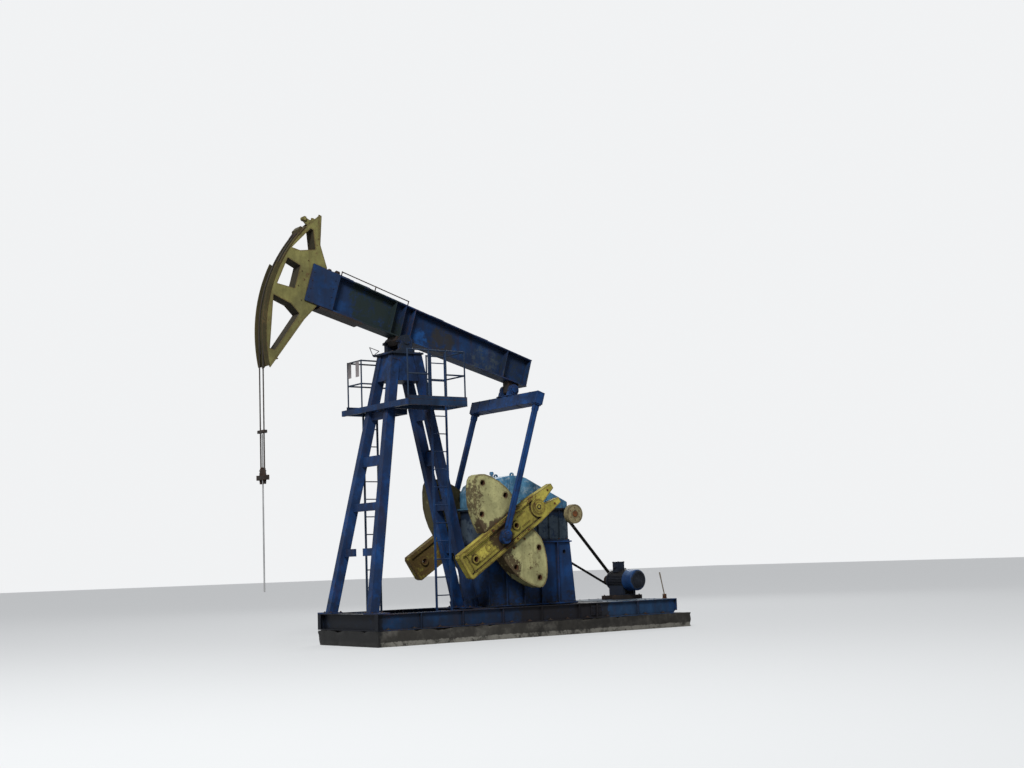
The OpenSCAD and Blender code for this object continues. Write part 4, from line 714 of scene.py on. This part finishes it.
def turned(mesh, profile, centre, steps, seat=Matrix(), closed=True):
    """A profile of (radius, across) points, turned once round an axis across the machine."""
    made = [mesh.verts.new(seat @ Vector((centre[0] + r, y, centre[1]))) for r, y in profile]
    lines = [mesh.edges.new(pair) for pair in zip(made, made[1:] + made[:1] if closed else made[1:])]
    bmesh.ops.spin(mesh, geom=made + lines, cent=seat @ Vector((centre[0], 0, centre[1])),
                   axis=seat.to_3x3() @ Vector((0, 1, 0)), angle=2 * math.pi, steps=steps, use_merge=True)


def ring_of(mesh, centre, inner, outer, low, high, steps=40, seat=Matrix()):
    """A flat ring that reaches from low to high across Y."""
    turned(mesh, [(inner, low), (outer, low), (outer, high), (inner, high)], centre, steps, seat)


crank_trim, crank_rust, crank_nuts = bmesh.new(), bmesh.new(), bmesh.new()
for side in (-1, 1):
    for u, inner, outer, low, high in ((0, 0.112, 0.142, 1.0795, 1.0825), (0, 0.055, 0.092, 1.0795, 1.0835),
                                       (0, 0.001, 0.030, 1.0795, 1.0838), (0, 0.150, 0.172, 1.0695, 1.0770),
                                       (0.712, 0.056, 0.080, 1.0285, 1.048), (1.966, 0.056, 0.080, 1.0285, 1.048),
                                       (1.548, 0.05, 0.085, 1.0285, 1.040)):
        ring_of(crank_trim, (u, 0), inner, outer, side * low, side * high, seat=crank_seat)
    for u in (0.712, 1.966):
        ring_of(crank_rust, (u, 0), 0.044, 0.0549, side * 0.93, side * 1.050, seat=crank_seat)
    sided_block(crank_trim, side, (2.120, 1.0690, -0.222), (2.138, 1.0790, 0.222), crank_seat, edge=0.002)
    for v, slide in ((-1, 0.040), (1, -0.058)):
        for start, end, low, high, height, half in (
                (0.36, 2.13, 1.0690, 1.0790, 0.268, 0.010), (0.40, 2.13, 1.0690, 1.0790, 0.214, 0.008),
                (0.34, 0.58, 1.0290, 1.040, 0.120, 0.010), (0.84, 2.00, 1.0290, 1.040, 0.120, 0.010)):
            sided_block(crank_trim, side, (start, low, v * height - half), (end, high, v * height + half), crank_seat,
                        edge=0.002)
        bolts(crank_nuts, [crank_seat @ Vector((u + slide, side * 1.070, v * 0.238)) for u in (0.56, 0.90, 1.24)],
              (0, side, 0), 0.020)
    bolts(crank_nuts, [crank_seat @ Vector((1.13, side * 0.940, 0))], (0, -side, 0), 0.055)
    bolts(crank_nuts, [crank_seat @ Vector((-0.40, side * 1.070, v)) for v in (-0.17, 0.17)], (0, side, 0), 0.022)
fit(crank_trim, "crank_rings", "crank", crank_yellow)
fit(crank_rust, "crank_bushes", "crank", rusty_iron)
fit(crank_nuts, "crank_nuts", "crank", rusty_iron)

# Counterweights
# Four heavy castings bolted against the cranks' edges. Their faces are bare and pale, with
# dark chips where the paint has gone, and their lifting holes have rusted.
# The dark band over the far weights is painted shade.
weight_yellow = painted("weight yellow", (0.435, 0.415, 0.195), (0.322, 0.306, 0.146), 0.46, 0.5, 0.36, dust_and_highlight=0.1,
                        roughness=0.66, edge=1.5, reach=0.085, corner_shade=1.4, rust_colour=(0.070, 0.036, 0.020),
                        bump=0.55, stains_and_shade=(((2, 0.8, 4.3), 0.00, (0.075, 0.050, 0.028), 15.0),
                                           ((2, 0.8, 4.3), 0.00, (0.190, 0.155, 0.080)),
                                           (((1.10, -1.0, 2.20), 0.60), 0.9, (0.060, 0.040, 0.026), 9.0),
                                           (((0.98, -0.85, 2.90), 0.85), 0.5, (0.085, 0.066, 0.036), 12.0),
                                           (((1.90, -1.0, 1.45), 0.70), 0.7, (0.060, 0.042, 0.024), 12.0),
                                           ((wrist_pin, 0.70), 1.0, (0.060, 0.042, 0.026), 8.0),
                                           ((1, 0.5, 1.3), 1.1, (0.070, 0.060, 0.032))))
dress(weight_yellow, "weight_near_upper", "weight_near_lower", "weight_far_upper", "weight_far_lower")
weight_bushes, weight_bolts = bmesh.new(), bmesh.new()
for side in (-1, 1):
    for v, slide, lift in ((-1, 0.040, -0.042), (1, -0.058, 0.038)):
        for u, w in ((0.850, 1.225), (0.505, 0.695), (1.240, 0.700)):
            ring_of(weight_bushes, (u + slide, v * (w + lift)), 0.047, 0.0575, side * 0.86, side * 0.985, 28,
                    crank_seat)
        bolts(weight_bolts, [crank_seat @ Vector((u + slide, side * 1.0, v * (0.335 + lift))) for u in (0.72, 1.06)],
              (0, side, 0), 0.020)
fit(weight_bushes, "weight_bushes", "crank", rusty_iron)
fit(weight_bolts, "weight_bolts", "crank", rusty_iron)

# Gearbox pedestal
# A stand of welded plates with upright ribs, bolted to the base, with the gearbox bolted
# on its top flange.
pedestal_enamel = painted("pedestal blue enamel", (0.007, 0.038, 0.130), (0.015, 0.056, 0.170), 0.28, 0.75, 0.5,
                          dust_and_highlight=0.35, corner_shade=1.1, stains_and_shade=(((0, 1.2, 3.2), 0.5, (0.012, 0.017, 0.024)),
                                                          ((2, 0.55, 1.0), 0.5, (0.014, 0.014, 0.016))))
dress(pedestal_enamel, "gear_pedestal")
stand_bolts = bmesh.new()
for side in (-1, 1):
    bolts(stand_bolts, row((1.84, side * 0.532, 0.672), (4.04, side * 0.532, 0.672), 10), up, 0.019)
    bolts(stand_bolts, row((1.84, side * 0.535, 1.968), (3.92, side * 0.535, 1.968), 9), (0, 0, -1), 0.017)
fit(stand_bolts, "pedestal_bolts", "base", dark_steel)

# Gearbox
# A cast case and cover, bolted together along a flange at the height of the crankshaft.
# The cover has ribs, an inspection lid, a breather and lifting lugs. Rain has drawn pale
# streaks down its light blue paint, and the case below is as dark as the pedestal.
cover_blue = painted("light blue enamel", (0.062, 0.225, 0.410), (0.150, 0.330, 0.470), 0.30, 1.2, 0.48, dust_and_highlight=0.5,
                     corner_shade=0.8, dust_and_highlight_colour=(0.34, 0.44, 0.50), rust_colour=(0.010, 0.035, 0.085),
                     stains_and_shade=(((2, 2.85, 3.7), 0.30, (0.36, 0.41, 0.42)),
                             ((0, 3.35, 4.4), 0.55, (0.020, 0.060, 0.130))))
case_enamel = painted("gearbox case enamel", (0.012, 0.034, 0.086), (0.022, 0.050, 0.105), 0.28, 0.75, 0.55,
                      dust_and_highlight=0.3, corner_shade=0.95, stains_and_shade=(((2, 1.90, 2.66), 0.75, (0.070, 0.094, 0.118)),
                                                      ((2, 2.56, 2.80), 0.6, (0.011, 0.012, 0.014))))
dress(cover_blue, "gearbox_cover")
dress(case_enamel, "gearbox_case")
shaft_centre = shaft_x, shaft_z = 4.020, 2.575
case_trim, cover_trim, case_bolts = bmesh.new(), bmesh.new(), bmesh.new()
for side in (-1, 1):
    x_row = [x for x in (1.80 + 0.155 * i for i in range(14)) if abs(x - crank_centre[0]) > 0.22]
    for z, way in ((2.751, 1), (2.683, -1)):
        bolts(case_bolts, [(x, side * 0.484, z) for x in x_row], (0, 0, way), 0.014)
    bolts(case_bolts, row((1.80, side * 0.484, 2.034), (3.92, side * 0.484, 2.034), 11), up, 0.016)
    ring_of(cover_trim, crank_centre, 0.100, 0.205, side * 0.5145, side * 0.532, 48)
    bolt_circle(case_bolts, (crank_centre[0], side * 0.532, crank_centre[1]), 0.172, 8, side, 0.014, math.pi / 8)
    ring_of(case_trim, shaft_centre, 0.047, 0.138, side * 0.480, side * 0.494)
    bolt_circle(case_bolts, (shaft_x, side * 0.494, shaft_z), 0.112, 6, side, 0.010)
    for x in (2.05, 2.32, 3.16, 3.46, 3.74):
        sided_block(case_trim, side, (x - 0.011, 0.455, 2.03), (x + 0.011, 0.495, 2.69))
    for x, top in ((2.02, 3.28), (2.40, 3.38), (3.10, 3.24), (3.40, 3.10), (3.70, 2.96)):
        sided_block(cover_trim, side, (x - 0.010, 0.455, 2.75), (x + 0.010, 0.490, top))
fall, run = 3.370 - 2.850, 3.985 - 2.886
slope = at(3.42, 0, 3.1186) @ turn(math.atan2(fall, run), "Y")
box_block(cover_trim, (-0.30, -0.28, -0.004), (0.30, 0.28, 0.022), slope)
bolts(case_bolts, [slope @ Vector((x, y, 0.022)) for x in (-0.27, -0.09, 0.09, 0.27) for y in (-0.25, 0.25)],
      slope.to_3x3() @ Vector(up), 0.011)
for y in (-0.12, 0.12):
    box_block(cover_trim, (-0.05, y - 0.008, 0.020), (0.05, y + 0.008, 0.060), slope)
for x, z in ((1.98, 3.310), (2.62, 3.421)):
    for y in (-0.30, 0.30):
        ring_of(cover_trim, (x, z + 0.030), 0.022, 0.052, y - 0.014, y + 0.014, 20)
        box_block(cover_trim, (x - 0.04, y - 0.014, z - 0.03), (x + 0.04, y + 0.014, z + 0.008))
for radius, low, high in ((0.030, 3.400, 3.470), (0.048, 3.470, 3.520), (0.036, 3.520, 3.532)):
    bar(cover_trim, at(2.30, 0, (low + high) / 2), radius, high - low, 24, radius * 0.94)
bar(case_trim, at(2.18, -0.466, 2.30) @ turn(math.pi / 2, "X"), 0.034, 0.012, 20)
fit(case_trim, "case_fittings", "base", case_enamel)
fit(cover_trim, "cover_fittings", "base", cover_blue)
fit(case_bolts, "gearbox_bolts", "base", rusty_iron)

# Drive
# The input shaft carries the cream brake drum on the near side and the large grooved
# sheave on the far side. Five belts run from it down to the motor's pulley.
cream = painted("cream paint", (0.345, 0.292, 0.158), (0.255, 0.210, 0.110), 0.44, 0.4, 0.34, dust_and_highlight=0.1,
                roughness=0.6, corner_shade=1.3)
dress(cream, "brake_drum")
dress(dark_steel, "input_shaft")
drum, hub = bmesh.new(), bmesh.new()
ring_of(drum, shaft_centre, 0.185, 0.2115, -0.6965, -0.6895, 56)
ring_of(drum, shaft_centre, 0.075, 0.098, -0.6965, -0.6895)
ring_of(hub, shaft_centre, 0.001, 0.062, -0.7050, -0.6890, 28)
bolt_circle(hub, (shaft_x, -0.690, shaft_z), 0.135, 6, -1, 0.012, math.pi / 6)
fit(drum, "drum_rims", "drive_shaft", cream)
fit(hub, "drum_hub", "drive_shaft", rusty_iron)
belt_count, belt_low, belt_high = 5, 0.557, 0.687
belt_pitch = (belt_high - belt_low) / belt_count
motor_centre = motor_x, motor_z = 6.000, 1.070


def grooved(outer, inner, deep):
    """The section of a pulley's rim with V grooves for its belts."""
    line = [(inner, belt_low), (outer, belt_low)]
    for i in range(belt_count):
        middle = belt_low + (i + 0.5) * belt_pitch
        line += [(outer, middle - belt_pitch * 0.40), (outer - deep, middle - belt_pitch * 0.22),
                 (outer - deep, middle + belt_pitch * 0.22), (outer, middle + belt_pitch * 0.40)]
    return line + [(outer, belt_high), (inner, belt_high)]


sheave, pulley = bmesh.new(), bmesh.new()
turned(sheave, grooved(0.560, 0.500, 0.018), shaft_centre, 96)
turned(sheave, [(0.046, belt_low), (0.105, belt_low), (0.118, 0.580), (0.118, 0.664), (0.105, belt_high),
                (0.046, belt_high)], shaft_centre, 40)
for i in range(6):
    bar(sheave, at(shaft_x, 0, shaft_z) @ turn(i * math.pi / 3, "Y") @ at(0.305, 0.622, 0) @ turn(math.pi / 2, "Y")
        @ Matrix.Diagonal((1.0, 0.48, 1, 1)), 0.052, 0.420, top=0.040)
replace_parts(fit(sheave, "grooved_sheave", "drive_shaft", pedestal_enamel), "large_sheave")
turned(pulley, grooved(0.118, 0.031, 0.016), motor_centre, 56)
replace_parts(fit(pulley, "grooved_pulley", "pulley", dark_steel), "motor_pulley")


def arc(centre, radius, first, last, steps):
    """Points along a part of a circle."""
    return [(centre[0] + radius * math.cos(a), centre[1] + radius * math.sin(a))
            for a in (first + (last - first) * i / steps for i in range(steps + 1))]


belt_rubber = painted("belt rubber", (0.018, 0.017, 0.016), (0.030, 0.028, 0.025), 0.0, 0.1, 0.2, dust_and_highlight=0.4,
                      roughness=0.8)
belts = bmesh.new()
sheave_round, pulley_round = 0.556, 0.114
lean = math.atan2(motor_z - shaft_z, motor_x - shaft_x)
open_by = math.acos((sheave_round - pulley_round) / math.dist(shaft_centre, motor_centre))
for i in range(belt_count):
    middle = belt_low + (i + 0.5) * belt_pitch
    rings = []
    for grow, half in ((0.0055, 0.0095), (-0.0085, 0.0055)):
        walk = (arc(shaft_centre, sheave_round + grow, lean + open_by, lean - open_by + 2 * math.pi, 48)
                + arc(motor_centre, pulley_round + grow, lean - open_by, lean + open_by, 20))
        for y in (middle - half, middle + half):
            line = [belts.verts.new((x, y, z)) for x, z in walk]
            rings.append([belts.edges.new(pair) for pair in zip(line, line[1:] + line[:1])])
    for first, second in ((0, 1), (1, 3), (3, 2), (2, 0)):
        bmesh.ops.bridge_loops(belts, edges=rings[first] + rings[second])
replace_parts(fit(belts, "five_belts", "base", belt_rubber, crease=40), "drive_belts")

# Motor
# An electric motor with cooling fins along its body, a smooth blue cover over its fan at
# the near end, a terminal box on top and cast feet, bolted on two rails.
motor_dark = painted("dusty motor enamel", (0.008, 0.013, 0.024), (0.015, 0.021, 0.036), 0.14, 0.2, 0.4, dust_and_highlight=0.35,
                     corner_shade=0.9)
# The fan cover's pale blue dust on its top is a painted highlight.
bell_blue = painted("fan cover enamel with painted highlight", (0.008, 0.035, 0.115), (0.013, 0.050, 0.150), 0.12, 0.25, 0.32, dust_and_highlight=0.8,
                    dust_and_highlight_colour=(0.14, 0.22, 0.36), roughness=0.36,
                    stains_and_shade=(((1, -0.62, -0.385), 1.4, (0.020, 0.022, 0.026)),))
pale_iron = painted("pale dusty iron", (0.26, 0.25, 0.23), (0.18, 0.17, 0.16), 0.25, 0.2, 0.3, dust_and_highlight=0.3, roughness=0.7)
dress(motor_dark, "motor")
dress(dark_steel, "motor_rails")
fins, cover, far_ring, motor_top, rail_bolts = bmesh.new(), bmesh.new(), bmesh.new(), bmesh.new(), bmesh.new()
fin_count, over_feet, under_box = 40, -0.78, 0.93
for a in (2 * math.pi * i / fin_count for i in range(fin_count)):
    if over_feet < math.sin(a) < under_box:
        box_block(fins, (0.206, -0.080, -0.004), (0.232, 0.425, 0.004), at(motor_x, 0, motor_z) @ turn(-a, "Y"),
                  edge=0.0015)
fit(fins, "motor_fins", "base", motor_dark)
bell = [(0.178 + 0.060 * math.cos(a), -0.375 - 0.045 * math.sin(a)) for a in (i * math.pi / 12 for i in range(1, 7))]
turned(cover, [(0.238, -0.110), (0.238, -0.375)] + bell + [(0.110, -0.428), (0.0, -0.434)], motor_centre, 64,
       closed=False)
bmesh.ops.remove_doubles(cover, verts=cover.verts, dist=0.0001)
ring_of(cover, motor_centre, 0.224, 0.2425, -0.125, -0.108, 64)
for i in range(7):
    ring_of(cover, motor_centre, 0.040 + 0.022 * i, 0.048 + 0.022 * i, -0.436, -0.424)
fit(cover, "fan_cover", "base", bell_blue, crease=40)
ring_of(far_ring, motor_centre, 0.150, 0.226, 0.4715, 0.480, 56)
fit(far_ring, "far_cover_ring", "base", pale_iron)
box_block(motor_top, (5.842, 0.102, 1.475), (6.048, 0.308, 1.497))
box_block(motor_top, (5.870, 0.130, 1.240), (6.020, 0.280, 1.270))
bolts(motor_top, [(x, y, 1.497) for x in (5.862, 6.028) for y in (0.122, 0.288)], up, 0.008)
bolts(motor_top, [(x, y, 0.754) for x in (5.835, 6.165) for y in (-0.030, 0.365)], up, 0.016)
ring_of(motor_top, (motor_x, 1.318), 0.016, 0.032, 0.028, 0.044, 18)
bar(motor_top, at(5.822, 0.205, 1.360) @ turn(math.pi / 2, "Y"), 0.022, 0.050, top=0.018)
fit(motor_top, "motor_fittings", "base", motor_dark)
for y in (-0.025, 0.360):
    bolts(rail_bolts, [(x, y, 0.730) for x in (5.62, 6.34)], up, 0.018)
    bolts(rail_bolts, [(5.580, y, 0.685)], (-1, 0, 0), 0.016)
fit(rail_bolts, "rail_bolts", "base", dark_steel)

# Brake lever
# A flat steel bar with a round grip. It turns on a bolt in a bracket, which stands at the
# near rear corner of the skid.
bare_lever = painted("bare lever steel", (0.230, 0.195, 0.150), (0.150, 0.120, 0.090), 0.40, 0.3, 0.3,
                     roughness=0.6, edge=0.2)
dress(bare_lever, "brake_lever")
dress(rusty_iron, "lever_bracket")
lever_nut = bmesh.new()
bolts(lever_nut, [(6.360, -0.9165, 0.710)], (0, -1, 0), 0.014)
fit(lever_nut, "lever_nut", "lever", dark_steel)

# Platforms
# Two small decks of chequered plate on welded frames, either side of the post's head, with
# rails of bar. The front beam carries both. Two blank plates hang on the far deck's rail.
blue_enamel = painted("blue enamel", (0.007, 0.030, 0.092), (0.014, 0.046, 0.135), 0.26, 0.5, 0.50, dust_and_highlight=0.2, edge=0.2)
dress(blue_enamel, "front_platform_beam", "far_platform")
deck_steel = painted("worn deck enamel", (0.008, 0.026, 0.068), (0.016, 0.040, 0.090), 0.34, 0.5, 0.5, dust_and_highlight=0.4)
dress(deck_steel, "near_platform")
rail_steel = painted("dark rail enamel", (0.012, 0.024, 0.050), (0.024, 0.040, 0.070), 0.25, 0.3, 0.3, dust_and_highlight=0.3,
                     edge=0.1)
dress(rail_steel, "near_railing", "far_railing")
near_hatch, far_hatch = (0.355, 0.790, -1.050, -0.610), (-0.565, -0.160, 0.594, 1.030)
hatch_x0, hatch_x1, hatch_y0, hatch_y1 = far_hatch
far_deck, kick_plates, lozenges, plates = bmesh.new(), bmesh.new(), bmesh.new(), bmesh.new()
frame_z, plate_z, deck_z, kick_z = 4.780, 4.892, 4.900, 4.975
for x0, x1, y0, y1 in ((-0.590, 0.480, 0.472, 0.532), (-0.590, 0.480, 1.140, 1.200), (-0.590, -0.570, 0.532, 1.140),
                       (0.420, 0.480, 0.532, 1.140), (-0.150, -0.100, 0.532, 1.140), (-0.475, -0.395, 0.440, 0.472)):
    box_block(far_deck, (x0, y0, frame_z), (x1, y1, plate_z), edge=0)
for x0, x1, y0, y1 in ((-0.590, 0.480, 0.472, hatch_y0), (-0.590, 0.480, hatch_y1, 1.200),
                       (-0.590, hatch_x0, hatch_y0, hatch_y1), (hatch_x1, 0.480, hatch_y0, hatch_y1)):
    box_block(far_deck, (x0, y0, plate_z), (x1, y1, deck_z), edge=0)
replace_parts(fit(far_deck, "far_deck", "base", deck_steel), "far_platform")
for x0, x1, y0, y1 in ((-0.590, 0.850, -1.280, -1.272), (-0.590, 0.480, 1.192, 1.200), (0.842, 0.850, -1.270, -0.472),
                       (0.472, 0.480, 0.472, 1.190)):
    box_block(kick_plates, (x0, y0, deck_z), (x1, y1, kick_z), edge=0.002)
for x, y in ((-0.560, -1.250), (-0.060, -1.250), (0.360, -1.250), (0.820, -1.250), (0.820, -0.500), (0.370, -0.500),
             (0.450, 1.170), (-0.560, 1.170), (-0.560, 0.600), (-0.170, 0.600)):
    box_block(kick_plates, (x - 0.032, y - 0.026, deck_z), (x + 0.032, y + 0.026, deck_z + 0.008), edge=0.001)
fit(kick_plates, "kick_plates", "base", deck_steel)
step, clear = 0.055, 0.02
for (x0, x1, y0, y1), (open_x0, open_x1, open_y0, open_y1) in (((-0.57, 0.83, -1.26, -0.49), near_hatch),
                                                               ((-0.57, 0.46, 0.49, 1.18), far_hatch)):
    for i in range(int((x1 - x0) / step) + 1):
        for j in range(int((y1 - y0) / step) + 1):
            x, y = x0 + i * step, y0 + j * step
            if open_x0 - clear < x < open_x1 + clear and open_y0 - clear < y < open_y1 + clear:
                continue
            bar(lozenges, at(x, y, deck_z + 0.0012) @ turn(math.pi / 4 if (i + j) % 2 else -math.pi / 4, "Z")
                @ Matrix.Diagonal((1, 0.32, 1, 1)), 0.020, 0.003, 4, 0.012)
fit(lozenges, "chequer_lozenges", "base", deck_steel)
for y in (0.985, 0.655):
    box_block(plates, (-0.585, y, 5.575), (-0.579, y + 0.140, 5.905), edge=0.001)
grey_plate = painted("blank grey plate", (0.36, 0.33, 0.33), (0.26, 0.23, 0.23), 0.25, 0.4, 0.3, roughness=0.6)
fit(plates, "blank_plates", "base", grey_plate)

# Ladders
# Two flat stiles and round rungs each. They stand on bearers that come in from the side base
# beams, and two clips hold the near one to its platform.
dress(blue_enamel, "ladder")
clips, far_ladder = bmesh.new(), bmesh.new()
for x in (0.390, 0.755):
    box_block(clips, (x - 0.030, -0.6088, 4.815), (x + 0.030, -0.6030, 4.865), edge=0.001)
    bolts(clips, [(x, -0.6315, 4.84)], (0, -1, 0), 0.010)
fit(clips, "ladder_clips", "base", dark_steel)
for x in (-0.530, -0.195):
    box_block(far_ladder, (x - 0.0225, 0.599, 0.640), (x + 0.0225, 0.621, 4.895), edge=0.002)
    box_block(far_ladder, (x - 0.0225, 0.599, 0.560), (x + 0.0225, 1.100, 0.640), edge=0.002)
for rung in range(11):
    bar(far_ladder, at(-0.3625, 0.610, 0.77 + 0.368 * rung) @ turn(math.pi / 2, "Y"), 0.012, 0.335, 12)
fit(far_ladder, "far_ladder", "base", rail_steel)
